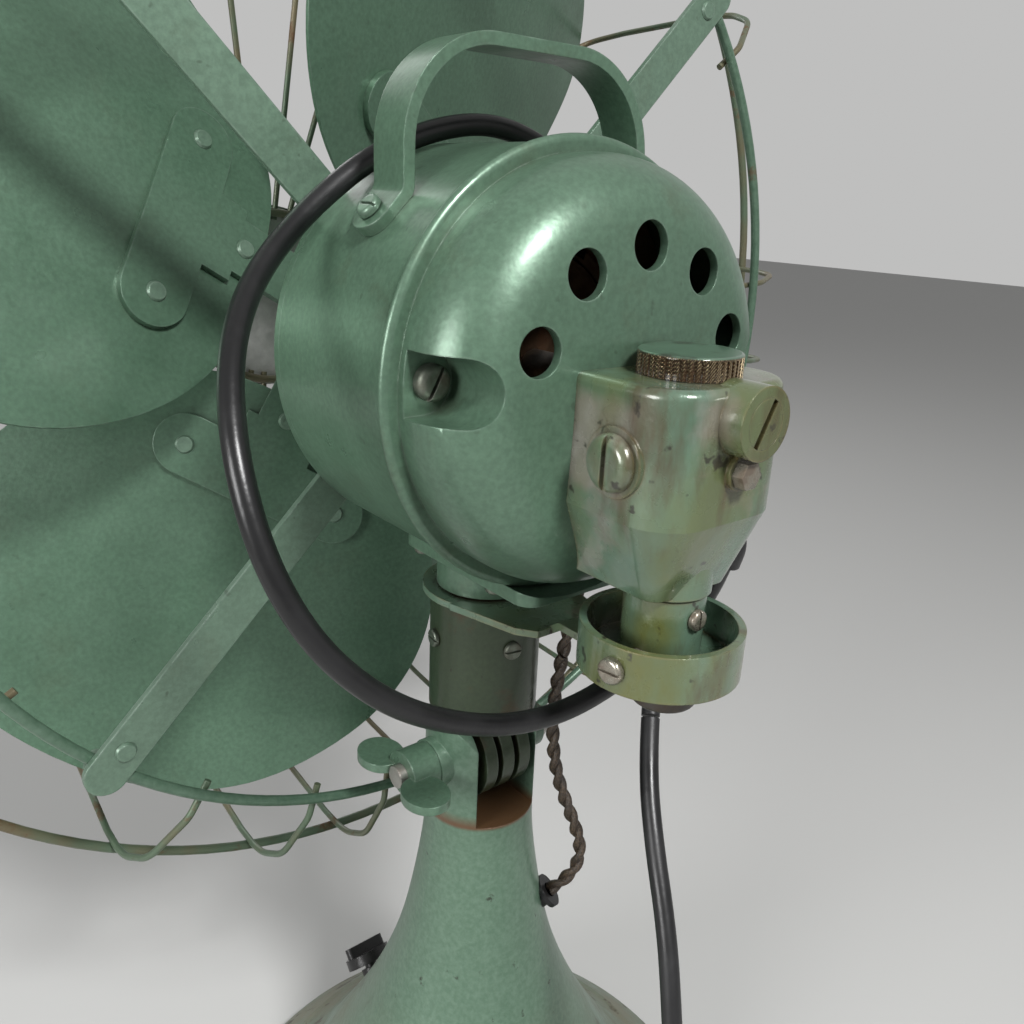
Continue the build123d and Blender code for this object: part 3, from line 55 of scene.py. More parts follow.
# ---------------------------------------------------------------- material tools
class Paint:
    """A node material with short names for the nodes that it uses."""

    def __init__(self, name, color, rough, metallic=0.0, coat=0.0, specular=0.5):
        self.material = bpy.data.materials.new(name)
        self.material.use_nodes = True
        self.tree = self.material.node_tree
        self.shader = self.tree.nodes["Principled BSDF"]
        self.shader.inputs["Base Color"].default_value = (*color, 1)
        self.shader.inputs["Roughness"].default_value = rough
        self.shader.inputs["Metallic"].default_value = metallic
        self.shader.inputs["Coat Weight"].default_value = coat
        self.shader.inputs["Specular IOR Level"].default_value = specular
        self.place = self.tree.nodes.new("ShaderNodeTexCoord").outputs["Object"]
        self.bump_chain = self.rounding(0.0005)

    def node(self, kind, **inputs):
        made = self.tree.nodes.new(kind)
        for key, value in inputs.items():
            socket = made.inputs[key.replace("_", " ")]
            self.feed(socket, value)
        return made

    def feed(self, socket, value):
        if isinstance(value, bpy.types.NodeSocket):
            self.tree.links.new(value, socket)
        elif hasattr(value, "__len__") and len(value) == 3 and socket.type == "RGBA":
            socket.default_value = (*value, 1)
        else:
            socket.default_value = value

    def noise(self, scale, detail=4.0, rough=0.55, stretch=(1, 1, 1), offset=(0, 0, 0), distortion=0.0):
        mapping = self.node("ShaderNodeMapping", Vector=self.place, Scale=stretch, Location=offset)
        made = self.node(
            "ShaderNodeTexNoise", Vector=mapping.outputs[0], Scale=scale, Detail=detail, Roughness=rough,
            Distortion=distortion,
        )
        return made.outputs["Fac"]

    def cells(self, scale):
        made = self.node("ShaderNodeTexVoronoi", Vector=self.place, Scale=scale)
        return made.outputs["Distance"]

    def stripes(self, turns):
        """Fine ridges that wind round the upright axis of the cap."""
        mapping = self.node("ShaderNodeMapping", Vector=self.place, Rotation=(0, 0, 0.4), Scale=turns)
        made = self.node("ShaderNodeTexWave", Vector=mapping.outputs[0], Scale=1.0, Distortion=0.0)
        made.bands_direction = "DIAGONAL"
        return made.outputs["Fac"]

    def spread(self, value, low, high, to_low=0.0, to_high=1.0):
        made = self.node("ShaderNodeMapRange", Value=value)
        made.inputs["From Min"].default_value = low
        made.inputs["From Max"].default_value = high
        made.inputs["To Min"].default_value = to_low
        made.inputs["To Max"].default_value = to_high
        return made.outputs[0]

    def math(self, operation, first, second=0.5):
        made = self.tree.nodes.new("ShaderNodeMath")
        made.operation = operation
        made.use_clamp = operation in ("ADD", "MULTIPLY", "SUBTRACT", "MAXIMUM")
        self.feed(made.inputs[0], first)
        self.feed(made.inputs[1], second)
        return made.outputs[0]

    def mix(self, amount, first, second):
        made = self.tree.nodes.new("ShaderNodeMix")
        made.data_type = "RGBA"
        self.feed(made.inputs["Factor"], amount)
        self.feed(made.inputs[6], first)
        self.feed(made.inputs[7], second)
        return made.outputs[2]

    def rounding(self, radius):
        """Normal that softens sharp edges."""
        made = self.node("ShaderNodeBevel", Radius=radius)
        made.samples = 4
        return made.outputs[0]

    def edges(self, radius, low=0.03, high=0.25):
        """Bright on sharp outer and inner edges."""
        rounded = self.node("ShaderNodeBevel", Radius=radius)
        rounded.samples = 4
        true = self.tree.nodes.new("ShaderNodeNewGeometry").outputs["True Normal"]
        made = self.tree.nodes.new("ShaderNodeVectorMath")
        made.operation = "DOT_PRODUCT"
        self.feed(made.inputs[0], rounded.outputs[0])
        self.feed(made.inputs[1], true)
        flat = self.math("SUBTRACT", 1.0, made.outputs["Value"])
        return self.spread(flat, low, high)

    def shade_in_corners(self, distance, full=0.35, none=0.8):
        """Mask for painted shade: bright in corners and beside other pieces."""
        made = self.node("ShaderNodeAmbientOcclusion", Distance=distance)
        made.samples = 4
        return self.spread(made.outputs["AO"], full, none, 1.0, 0.0)

    def near(self, centre, half, soft):
        """Bright inside a box of the frame, with soft and ragged sides."""
        inside = None
        ragged = self.spread(self.noise(130.0, detail=5.0), 0.25, 0.75, -soft, soft)
        for axis, middle, reach in zip("XYZ", centre, half):
            away = self.math("ABSOLUTE", self.plain("SUBTRACT", self.height(axis), middle))
            side = self.spread(self.plain("ADD", away, ragged), reach - soft, reach + soft, 1.0, 0.0)
            inside = side if inside is None else self.math("MULTIPLY", inside, side)
        return inside

    def plain(self, operation, first, second):
        """Arithmetic that keeps negative results."""
        made = self.tree.nodes.new("ShaderNodeMath")
        made.operation = operation
        self.feed(made.inputs[0], first)
        self.feed(made.inputs[1], second)
        return made.outputs[0]

    def height(self, axis):
        """Place along an axis of the frame, in metres."""
        made = self.node("ShaderNodeSeparateXYZ", Vector=self.place)
        return made.outputs[axis]

    def bump(self, value, strength, distance):
        made = self.node("ShaderNodeBump", Height=value, Strength=strength, Distance=distance)
        self.feed(made.inputs["Normal"], self.bump_chain)
        self.bump_chain = made.outputs[0]

    def done(self, color=None, rough=None, metallic=None):
        if color is not None:
            self.feed(self.shader.inputs["Base Color"], color)
        if rough is not None:
            self.feed(self.shader.inputs["Roughness"], rough)
        if metallic is not None:
            self.feed(self.shader.inputs["Metallic"], metallic)
        self.feed(self.shader.inputs["Normal"], self.bump_chain)
        return self.material


GREEN = (0.080, 0.142, 0.095)
GREEN_LIGHT = (0.130, 0.205, 0.148)
GREEN_DARK = (0.044, 0.086, 0.055)
OLIVE = (0.098, 0.100, 0.018)
OIL_BROWN = (0.055, 0.024, 0.006)
GRIME = (0.016, 0.013, 0.008)
RUST = (0.105, 0.045, 0.018)
DUST = (0.19, 0.17, 0.125)
FOOT_CLEAN = 0.120  # dust thins out up to this height
FOOT_DUSTY = 0.045
FORK_FLOOR = 0.198


def hammer_paint(name, grime=0.25, chips=0.3, tint=GREEN, extra_edge_wear_and_highlight=0.0):
    """Green hammertone enamel: fine metallic mottle, small pits, dirt and a few chips; edges lightened as
    wear and painted highlight, corners darkened as painted shade and grime.
    """
    paint = Paint(name, tint, 0.34, metallic=0.35, coat=0.15)
    paint.shader.inputs["Coat Roughness"].default_value = 0.2
    mottle = paint.noise(620.0, detail=3.0)
    cloud = paint.noise(9.0, detail=5.0)
    light = [part * 1.5 for part in tint]
    dark = [part * 0.6 for part in tint]
    color = paint.mix(paint.spread(mottle, 0.35, 0.68, 0.0, 0.55), tint, light)
    color = paint.mix(paint.spread(cloud, 0.42, 0.72, 0.0, 0.45), color, dark)
    dirt = paint.spread(paint.noise(38.0, detail=9.0, rough=0.68), 0.56, 0.74, 0.0, grime)
    color = paint.mix(dirt, color, OIL_BROWN)
    specks = paint.spread(paint.noise(210.0, detail=2.0), 0.70, 0.76, 0.0, chips)
    color = paint.mix(specks, color, GRIME)
    # Edges lightened to pale green: partly worn paint, partly a painted highlight along the edges.
    edge = paint.edges(0.0012)
    broken = paint.spread(paint.noise(160.0, detail=4.0), 0.42, 0.62)
    edge_wear_and_highlight = paint.math("MULTIPLY", edge, broken)
    color = paint.mix(paint.math("MULTIPLY", edge_wear_and_highlight, 0.35 + extra_edge_wear_and_highlight), color, (0.27, 0.34, 0.29))
    # Painted shade with some grime: corners and places beside other parts are darkened.
    corner_shade_and_grime = paint.math("MULTIPLY", paint.shade_in_corners(0.005), paint.spread(paint.noise(90.0), 0.3, 0.6))
    color = paint.mix(paint.math("MULTIPLY", corner_shade_and_grime, 0.25 + grime), color, (0.030, 0.028, 0.016))
    rough = paint.spread(paint.noise(60.0, detail=4.0), 0.3, 0.7, 0.27, 0.42)
    paint.bump(paint.noise(430.0, detail=1.5), 0.16, 0.0004)
    paint.bump(specks, 0.25, 0.0002)
    return paint.done(color, rough)


def dusty_foot():
    """The enamel of the base, dusty and olive on the flat of the foot, clean on the column."""
    paint = Paint("base enamel", GREEN, 0.4, metallic=0.2, coat=0.08)
    mottle = paint.noise(520.0, detail=3.0)
    color = paint.mix(paint.spread(mottle, 0.35, 0.68, 0.0, 0.6), GREEN, GREEN_LIGHT)
    pits = paint.spread(paint.noise(150.0, detail=4.0, rough=0.7), 0.66, 0.73, 0.0, 0.8)
    color = paint.mix(pits, color, GRIME)
    low = paint.spread(paint.height("Z"), FOOT_CLEAN, FOOT_DUSTY)
    patchy = paint.spread(paint.noise(28.0, detail=8.0, rough=0.7), 0.34, 0.62)
    dust = paint.math("MULTIPLY", low, patchy)
    color = paint.mix(paint.math("MULTIPLY", dust, 0.75), color, DUST)
    spots = paint.spread(paint.noise(95.0, detail=6.0), 0.58, 0.66)
    color = paint.mix(paint.math("MULTIPLY", low, spots), color, (0.045, 0.038, 0.022))
    above = paint.spread(paint.height("Z"), FORK_FLOOR + 5.0 * MM, FORK_FLOOR + 0.5 * MM)
    inside = paint.math(
        "MULTIPLY", above, paint.spread(paint.height("Z"), FORK_FLOOR - 1.5 * MM, FORK_FLOOR - 0.2 * MM)
    )
    color = paint.mix(paint.math("MULTIPLY", inside, 0.9), color, RUST)
    rough = paint.math("ADD", paint.math("MULTIPLY", dust, 0.35), 0.36)
    paint.bump(paint.noise(380.0, detail=2.0), 0.3, 0.0005)
    paint.bump(pits, 0.3, 0.0003)
    return paint.done(color, rough)


def oily_paint(name, bare=0.5, oil=0.8, pads=()):
    """Gearbox enamel under old oil: yellow film, brown runs, dark specks and rubbed patches; corners darkened
    as painted shade and oil.
    """
    paint = Paint(name, GREEN, 0.2, metallic=0.15, coat=0.7)
    paint.shader.inputs["Coat Roughness"].default_value = 0.09
    color = paint.mix(paint.spread(paint.noise(75.0, detail=5.0), 0.35, 0.7, 0.0, 0.6), GREEN, GREEN_LIGHT)
    rubbed = paint.spread(paint.noise(30.0, detail=7.0, rough=0.66, offset=(7, 4, 1)), 0.57, 0.62, 0.0, bare)
    for centre, half in pads:
        rubbed = paint.math("MAXIMUM", rubbed, paint.near(centre, half, 0.0022))
    grey = paint.mix(paint.noise(240.0, detail=4.0), (0.16, 0.15, 0.125), (0.27, 0.26, 0.23))
    color = paint.mix(rubbed, color, grey)
    film = paint.spread(paint.noise(34.0, detail=6.0, stretch=(1, 1, 0.45)), 0.36, 0.58, 0.0, oil * 0.8)
    color = paint.mix(film, color, OLIVE)
    streaks = paint.noise(60.0, detail=5.0, rough=0.6, stretch=(1, 1, 0.25), offset=(3, 1, 2))
    runs = paint.spread(streaks, 0.55, 0.68, 0.0, oil * 0.8)
    color = paint.mix(runs, color, OIL_BROWN)
    # Painted shade with pooled oil: corners and places beside other parts are darkened to near black brown.
    corners = paint.shade_in_corners(0.006, 0.40, 0.82)
    corner_shade_and_oil = paint.math("MULTIPLY", corners, paint.spread(paint.noise(70.0), 0.2, 0.55))
    color = paint.mix(paint.math("MULTIPLY", corner_shade_and_oil, 0.92), color, (0.022, 0.012, 0.005))
    edge = paint.math("MULTIPLY", paint.edges(0.0016), paint.spread(paint.noise(90.0), 0.38, 0.6))
    color = paint.mix(paint.math("MULTIPLY", edge, 0.55), color, (0.20, 0.15, 0.06))
    specks = paint.spread(paint.noise(170.0, detail=3.0), 0.64, 0.69, 0.0, 0.85)
    color = paint.mix(specks, color, GRIME)
    rough = paint.spread(paint.noise(85.0, detail=5.0), 0.3, 0.7, 0.14, 0.42)
    paint.bump(paint.noise(120.0, detail=6.0, rough=0.6), 0.35, 0.0009)
    paint.bump(runs, 0.25, 0.0004)
    return paint.done(color, rough)


def metal(name, color, rough, dirt=0.4, dirt_color=RUST, grain=300.0, coat=0.0):
    """Bare metal with brown and dark deposits in patches."""
    paint = Paint(name, color, rough, metallic=0.9, coat=coat)
    stain = paint.spread(paint.noise(110.0, detail=7.0, rough=0.65), 0.45, 0.62, 0.0, dirt)
    shade = [part * 0.6 for part in color]
    tone = paint.mix(paint.spread(paint.noise(grain, detail=3.0), 0.3, 0.7, 0.0, 0.5), color, shade)
    mixed = paint.mix(stain, tone, dirt_color)
    metallic = paint.spread(stain, 0.0, 1.0, 0.9, 0.1)
    paint.bump(paint.noise(grain * 1.4, detail=3.0), 0.2, 0.0003)
    return paint.done(mixed, paint.math("ADD", paint.math("MULTIPLY", stain, 0.4), rough), metallic)


def cap_finish():
    """Knurled brass rim, black with oil in the grooves, under a painted top."""
    paint = Paint("knurled cap", (0.30, 0.20, 0.09), 0.28, metallic=0.8, coat=0.5)
    knurl = paint.math("MULTIPLY", paint.stripes((900, 900, 650)), paint.stripes((-900, 900, -650)))
    rim = paint.mix(paint.spread(knurl, 0.15, 0.55), (0.035, 0.018, 0.008), (0.36, 0.29, 0.17))
    rim = paint.mix(paint.spread(paint.noise(120.0), 0.42, 0.6, 0.0, 0.6), rim, OIL_BROWN)
    top = paint.mix(paint.noise(150.0), GREEN_DARK, GREEN)
    top = paint.mix(paint.spread(paint.noise(80.0, detail=6.0), 0.52, 0.62, 0.0, 0.8), top, GRIME)
    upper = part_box("filler_cap")[1][2]
    is_top = paint.spread(paint.height("Z"), upper - 0.0006, upper - 0.0003)
    paint.bump(paint.math("MULTIPLY", knurl, paint.spread(is_top, 0, 1, 1, 0)), 0.7, 0.0012)
    return paint.done(paint.mix(is_top, rim, top), 0.3, paint.spread(is_top, 0, 1, 0.8, 0.1))


def worn_wire():
    """Guard wire: green enamel worn to olive brown, with rust in places."""
    paint = Paint("worn guard wire", GREEN, 0.42, metallic=0.3)
    worn = paint.spread(paint.noise(24.0, detail=5.0), 0.40, 0.60)
    base = paint.mix(worn, (0.085, 0.125, 0.080), (0.125, 0.105, 0.060))
    rust = paint.spread(paint.noise(60.0, detail=7.0, rough=0.7), 0.57, 0.66)
    color = paint.mix(paint.math("MULTIPLY", rust, 0.8), base, RUST)
    paint.bump(paint.noise(500.0, detail=3.0), 0.3, 0.0003)
    return paint.done(color, paint.spread(rust, 0, 1, 0.38, 0.75))


def ring_paint():
    """Rear ring of the guard: mostly sound enamel with a few rusty stretches."""
    paint = Paint("ring enamel", GREEN, 0.36, metallic=0.25)
    mottle = paint.spread(paint.noise(420.0), 0.35, 0.7, 0.0, 0.5)
    color = paint.mix(mottle, (0.066, 0.122, 0.080), GREEN_LIGHT)
    rust = paint.spread(paint.noise(16.0, detail=8.0, rough=0.72), 0.60, 0.66)
    color = paint.mix(paint.math("MULTIPLY", rust, 0.85), color, RUST)
    paint.bump(rust, 0.2, 0.0002)
    return paint.done(color, paint.spread(rust, 0, 1, 0.33, 0.7))


def rubber(name, color=(0.0065, 0.0065, 0.007), rough=0.30):
    """Old black rubber: faint bloom, fine grain and a dull sheen."""
    paint = Paint(name, color, rough, specular=0.4)
    bloom = paint.spread(paint.noise(34.0, detail=6.0, rough=0.62), 0.42, 0.72, 0.0, 0.6)
    mixed = paint.mix(bloom, color, (0.019, 0.019, 0.020))
    paint.bump(paint.noise(420.0, detail=3.0), 0.22, 0.0003)
    paint.bump(paint.noise(60.0, detail=2.0), 0.12, 0.0006)
    return paint.done(mixed, paint.spread(bloom, 0.0, 0.6, rough, rough + 0.2))


def braid(name):
    """Old braided insulation, brown and greasy, with a woven relief."""
    paint = Paint(name, (0.045, 0.030, 0.018), 0.6)
    weave = paint.cells(1500.0)
    color = paint.mix(paint.spread(weave, 0.2, 0.7), (0.018, 0.013, 0.009), (0.075, 0.050, 0.030))
    grease = paint.spread(paint.noise(70.0, detail=5.0), 0.45, 0.65, 0.0, 0.7)
    color = paint.mix(grease, color, (0.015, 0.012, 0.010))
    paint.bump(weave, 0.5, 0.0004)
    return paint.done(color, 0.55)


def felt():
    paint = Paint("felt", (0.030, 0.036, 0.028), 0.95)
    fibre = paint.noise(900.0, detail=5.0, rough=0.7)
    paint.bump(fibre, 0.6, 0.0006)
    return paint.done(paint.mix(fibre, (0.018, 0.022, 0.018), (0.060, 0.066, 0.050)))


# rubbed places of the gearbox: round the two side plugs, and beside the plug at the rear
PLUG_PAD_OUT = 0.0245
PLUG_PAD_PLACE = (0.0735, 0.3565)
PLUG_PAD_HALF = (0.003, 0.0125, 0.0125)
REAR_PAD_CENTRE = (0.0065, 0.0965, 0.3665)
REAR_PAD_HALF = (0.0075, 0.006, 0.0055)

MATERIALS = {
    "enamel": hammer_paint("hammertone enamel"),
    "blade": hammer_paint("blade enamel", grime=0.12, chips=0.15, tint=(0.072, 0.135, 0.088)),
    # Struts get a lighter green tint as painted light, a lit copy of the enamel, and stronger edge lightening
    # for wear and painted highlight.
    "strut": hammer_paint("lit strut enamel", grime=0.2, chips=0.4, extra_edge_wear_and_highlight=0.35, tint=(0.110, 0.176, 0.126)),
    "bolt": metal("painted bolt", (0.17, 0.19, 0.155), 0.4, dirt=0.7, dirt_color=(0.05, 0.035, 0.02)),
    # The post's enamel is darkened far below the other green as painted shade, on top of heavy grime.
    "shaded_post": hammer_paint("post enamel", grime=1.0, chips=0.8, tint=(0.026, 0.040, 0.020)),
    "base": dusty_foot(),
    "gearbox": oily_paint(
        "oily enamel",
        pads=(
            ((PLUG_PAD_OUT, *PLUG_PAD_PLACE), PLUG_PAD_HALF),
            (REAR_PAD_CENTRE, REAR_PAD_HALF),
            ((-PLUG_PAD_OUT, *PLUG_PAD_PLACE), PLUG_PAD_HALF),
        ),
    ),
    "cup": oily_paint("oily cup enamel", bare=0.25, oil=1.1),
    "strap": oily_paint("greasy strap enamel", bare=0.7, oil=0.45),
    "wire": worn_wire(),
    "ring": ring_paint(),
    "steel": metal("bare steel", (0.40, 0.39, 0.36), 0.33),
    "oily steel": metal("oily steel", (0.36, 0.34, 0.28), 0.22, dirt=0.75, dirt_color=OIL_BROWN, coat=0.5),
    "rust": metal("rusty iron", (0.16, 0.10, 0.06), 0.62, dirt=0.85),
    "dark": metal("dark oily iron", (0.06, 0.04, 0.025), 0.3, dirt=0.8, dirt_color=GRIME, coat=0.6),
    "brass": cap_finish(),
    "bronze": metal("bronze", (0.45, 0.28, 0.12), 0.35, dirt=0.3, dirt_color=OIL_BROWN),
    "alloy": metal("dull alloy", (0.55, 0.55, 0.53), 0.38, dirt=0.15, dirt_color=GRIME),
    "copper": metal("varnished copper", (0.45, 0.18, 0.07), 0.35, dirt=0.3, dirt_color=OIL_BROWN),
    "rubber": rubber("cord rubber"),
    "plastic": rubber("black moulding", color=(0.010, 0.010, 0.010), rough=0.22),
    "braid": braid("braided lead"),
    "felt": felt(),
}

LOOKS = {
    "enamel": ["motor_housing", "front_end_plate", "rear_dome", "handle", "swivel_platform", "wing_nut"],
    "blade": ["fan_blades", "spider_hub"],
    "strut": ["guard_struts", "strut_lugs", "strut_rivets", "blade_rivets", "handle_screws"],
    "bolt": ["through_bolts", "swivel_lock_screws", "platform_screws"],
    "shaded_post": ["tilt_stem"],
    "base": ["base_casting"],
    "gearbox": ["gearbox_housing", "thrust_plug", "cross_shaft_plugs"],
    "cup": ["crank_cup"],
    "strap": ["link_strap"],
    "wire": ["guard_wires", "guard_front_ring", "guard_nose_ring"],
    "ring": ["guard_rear_ring"],
    "steel": ["base_plate", "tilt_bolt", "swivel_spindle", "motor_shaft", "hub_screw"],
    "oily steel": [
        "level_screw", "cross_shaft", "drive_worm", "crank_shaft", "clutch_spring", "crank_set_screw",
        "clutch_screw",
    ],
    "rust": ["stator_core", "rotor_core"],
    "dark": ["crank_pin"],
    "brass": ["filler_cap"],
    "bronze": ["worm_wheel", "crown_wheel", "shaft_bearings"],
    "alloy": ["guard_badge"],
    "copper": ["stator_coils"],
    "rubber": ["cord_gland", "lead_grommet"],
    "plastic": ["speed_switch", "switch_knob", "mains_plug"],
    "felt": ["felt_pad"],
}


def paint_node(node, look):
    piece = NODES[node]
    piece.data.materials.clear()
    piece.data.materials.append(MATERIALS[look])


for look, group in LOOKS.items():
    for node in group:
        paint_node(node, look)


def smooth(piece, angle=35.0):
    """Smooth shading that breaks at edges sharper than the angle."""
    mesh = piece.data
    for polygon in mesh.polygons:
        polygon.use_smooth = True
    mesh.set_sharp_from_angle(angle=radians(angle))


# ---------------------------------------------------------------- mesh tools
def mesh_piece(name, verts, faces, material):
    mesh = bpy.data.meshes.new(name)
    mesh.from_pydata([tuple(v) for v in verts], [], faces)
    mesh.update()
    piece = bpy.data.objects.new(name, mesh)
    bpy.context.scene.collection.objects.link(piece)
    mesh.materials.append(material)
    smooth(piece, 40.0)
    return piece


# ---------------------------------------------------------------- cords
CORD_RADIUS = 3.3 * MM
STRAND_RADIUS = 1.45 * MM
STRAND_OUT = 1.2 * MM  # from the middle of the lead
STRAND_PITCH = 15 * MM
LOOP_ROUTE = [
    (-32, 74.3, 313), (-31, 71.3, 300), (-24, 62.3, 282), (-9, 56.3, 270), (12, 56.3, 267), (34, 56.3, 270),
    (56, 56.3, 279), (76, 55.3, 292), (92, 51.3, 310), (101, 45.3, 331), (103, 36.3, 353), (98, 22.3, 372),
    (88, 8.3, 386), (74, -3.7, 398), (56, -11.7, 411), (36, -14.7, 424), (14, -14.7, 433), (-8, -14.7, 436),
    (-30, -14.7, 430), (-50, -13.7, 418), (-66, -11.7, 400), (-76, -7.7, 376),
]
LINK_ROUTE = [
    (-76, -7.7, 376), (-81, -5.7, 364), (-83, -1.5, 344), (-80, 5.5, 322), (-72, 14.5, 301), (-61.5, 25, 281),
    (-50, 36.5, 261.5), (-37, 49, 243),
]
DROP_ROUTE = [
    (-37, 49, 243), (-27.9, 57.75, 230.05), (-19, 71, 213), (-11, 87, 191), (-5, 97, 170), (-1, 105, 147),
    (1, 111, 123), (3, 116, 99), (4, 121, 77), (4, 127, 56), (3, 134, 37), (2, 143, 19), (1.0, 153, 7.5),
    (0.3, 164, 3.3), (0.3, 173, 3.3),
]
LEAD_UPPER = [(33.5, 310.0), (33.5, 298.0), (32.3, 285.0), (30.0, 272.0), (28.4, 259.0)]
LEAD_LOWER = [
    (28.4, 259.0), (26.8, 246.0), (26.4, 233.0), (27.1, 220.1), (29.2, 208.3), (32.9, 196.9), (37.1, 186.5),
    (40.5, 176.0), (40.2, 166.7), (36.0, 158.8), (29.6, 153.4),
]
LEAD_SIDE = Vector((-0.783, 0.621, 0)).normalized()


def metres(points):
    return [Vector(point) * MM for point in points]


def lead_points(route):
    """Lead points from their distance to the swivel axis and their height."""
    return [LEAD_SIDE * (out * MM) + Vector((0, 0, up * MM)) for out, up in route]


def nurbs(name, points, radius):
    """Round cord on an open NURBS spline."""
    curve = bpy.data.curves.new(name, "CURVE")
    curve.dimensions = "3D"
    spline = curve.splines.new("NURBS")
    spline.points.add(len(points) - 1)
    for slot, point in zip(spline.points, points):
        slot.co = (*point, 1)
    spline.order_u = 3
    spline.use_endpoint_u = True
    spline.resolution_u = 8
    curve.bevel_depth = radius
    curve.bevel_resolution = 5
    curve.use_fill_caps = True
    piece = bpy.data.objects.new(name, curve)
    bpy.context.scene.collection.objects.link(piece)
    return piece


def route_line(points):
    """Points of the smooth line that a route's spline makes."""
    bare = nurbs("line", points, 0.0)
    bare.data.use_fill_caps = False
    bpy.context.view_layer.update()
    mesh = bpy.data.meshes.new_from_object(bare)
    line = [vertex.co.copy() for vertex in mesh.vertices]
    bpy.data.meshes.remove(mesh)
    bpy.data.objects.remove(bare)
    return line


def line_length(line):
    return sum((b - a).length for a, b in zip(line, line[1:]))


def along(line, step):
    """The line again, as points a fixed step apart."""
    out = [line[0]]
    left = step
    for a, b in zip(line, line[1:]):
        run = (b - a).length
        while run >= left and run > 0:
            a = a + (b - a) * (left / run)
            out.append(a)
            run = (b - a).length
            left = step
        left -= run
    if (out[-1] - line[-1]).length > step * 0.3:
        out.append(line[-1])
    return out


def frames(line):
    """A side vector and an across vector at each point, without twist."""
    result = []
    side = None
    for index, point in enumerate(line):
        before = line[max(index - 1, 0)]
        after = line[min(index + 1, len(line) - 1)]
        ahead = (after - before).normalized()
        if side is None:
            side = ahead.orthogonal().normalized()
        side = (side - ahead * side.dot(ahead)).normalized()
        result.append((point, side, ahead.cross(side)))
    return result


def tube_mesh(line, radius, segments=14, verts=None, faces=None):
    """Closed round tube along a line."""
    verts = [] if verts is None else verts
    faces = [] if faces is None else faces
    start = len(verts)
    for point, side, across in frames(line):
        for k in range(segments):
            angle = 2 * pi * k / segments
            verts.append(point + side * (radius * cos(angle)) + across * (radius * sin(angle)))
    rings = len(line)
    for ring in range(rings - 1):
        for k in range(segments):
            a = start + ring * segments + k
            b = start + ring * segments + (k + 1) % segments
            faces.append((a, b, b + segments, a + segments))
    faces.append(tuple(start + k for k in range(segments))[::-1])
    faces.append(tuple(start + (rings - 1) * segments + k for k in range(segments)))
    return verts, faces


def twisted(line):
    """Two strands wound round each other along a line."""
    verts, faces = [], []
    fine = along(line, 1.2 * MM)
    for strand in range(2):
        path = []
        travelled = 0.0
        last = fine[0]
        for point, side, across in frames(fine):
            travelled += (point - last).length
            last = point
            angle = 2 * pi * (travelled / STRAND_PITCH + strand / 2)
            path.append(point + side * (STRAND_OUT * cos(angle)) + across * (STRAND_OUT * sin(angle)))
        tube_mesh(path, STRAND_RADIUS, 10, verts, faces)
    return verts, faces


def rubber_cord(name, points, body, node):
    """Cord that moves with one body."""
    piece = nurbs(name, points, CORD_RADIUS)
    piece.data.materials.append(MATERIALS["rubber"])
    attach(piece, body)
    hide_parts(node)
    return piece


loop_points = metres(LOOP_ROUTE)
cord_loop = rubber_cord("cord_loop_rubber", loop_points, "head", "cord_loop")
loop_line = route_line(loop_points)

for name, route, node, bodies in (
    ("cord_link_rubber", LINK_ROUTE, "cord_link", ("head", "stem")),
    ("cord_drop_rubber", DROP_ROUTE, "cord_drop", ("stem", "base")),
):
    points = metres(route)
    line = along(route_line(points), 3 * MM)
    verts, faces = tube_mesh(line, CORD_RADIUS, 18)
    tube = mesh_piece(name, verts, faces, MATERIALS["rubber"])
    # the last stretch of the drop lies still on the table
    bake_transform(tube)
    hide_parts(node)

for name, route, node, bodies in (
    ("lead_upper_pair", LEAD_UPPER, "lead_upper", ("head", "stem")),
    ("lead_lower_pair", LEAD_LOWER, "lead_lower", ("stem", "base")),
):
    points = lead_points(route)
    line = along(route_line(points), 2 * MM)
    verts, faces = twisted(line)
    pair = mesh_piece(name, verts, faces, MATERIALS["braid"])
    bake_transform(pair)
    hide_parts(node)

# coil on the table behind the fan, in one spline with the same turns as the solid
COIL_CENTRE = Vector((-40.0, 179.6, 0)) * MM
COIL_START = Vector((0.3, 173.0, 3.3)) * MM
COIL_PITCH = 7.2 * MM
PLUG_REACH = 8 * CORD_RADIUS
HALF_TURNS = 4
POINTS_PER_HALF = 8


def coil_points():
    radii = [COIL_START.x - COIL_CENTRE.x - COIL_PITCH / 2 * half for half in range(HALF_TURNS + 1)]
    radii += radii[::-1]
    heights = [COIL_START.z] * (HALF_TURNS + 1) + [COIL_START.z + COIL_PITCH] * (HALF_TURNS + 1)
    points = [COIL_START]
    for number in range(len(radii) - 1):
        side = 1 if number % 2 == 0 else -1
        first = Vector((COIL_CENTRE.x + side * radii[number], COIL_CENTRE.y, heights[number]))
        last = Vector((COIL_CENTRE.x - side * radii[number + 1], COIL_CENTRE.y, heights[number + 1]))
        middle = (first + last) / 2
        reach = (last - first).length / 2
        swell = 1 / cos(pi / POINTS_PER_HALF / 2)
        for step in range(POINTS_PER_HALF):
            angle = pi * (step + 0.5) / POINTS_PER_HALF
            across = (first - middle) * cos(angle)
            bulge = Vector((0, reach * sin(angle) * side, 0))
            points.append(middle + (across + bulge) * swell)
    end = Vector((COIL_CENTRE.x - radii[-1], COIL_CENTRE.y, heights[-1]))
    points += [end - Vector((0, PLUG_REACH * 0.5, 0)), end - Vector((0, PLUG_REACH, 0))]
    return points


coil_route = coil_points()
coil = rubber_cord("cord_coil_rubber", coil_route, "base", "cord_coil")
line_length(route_line(coil_route))

for node in NODES.values():
    smooth(node)

# ---------------------------------------------------------------- floor, lights and camera
FLOOR = (0.50, 0.50, 0.49)
FLOOR_REACH = 6.0
BACKDROP = (0.52, 0.52, 0.515, 1)
ROOM_LIGHT = (0.27, 0.27, 0.27, 1)


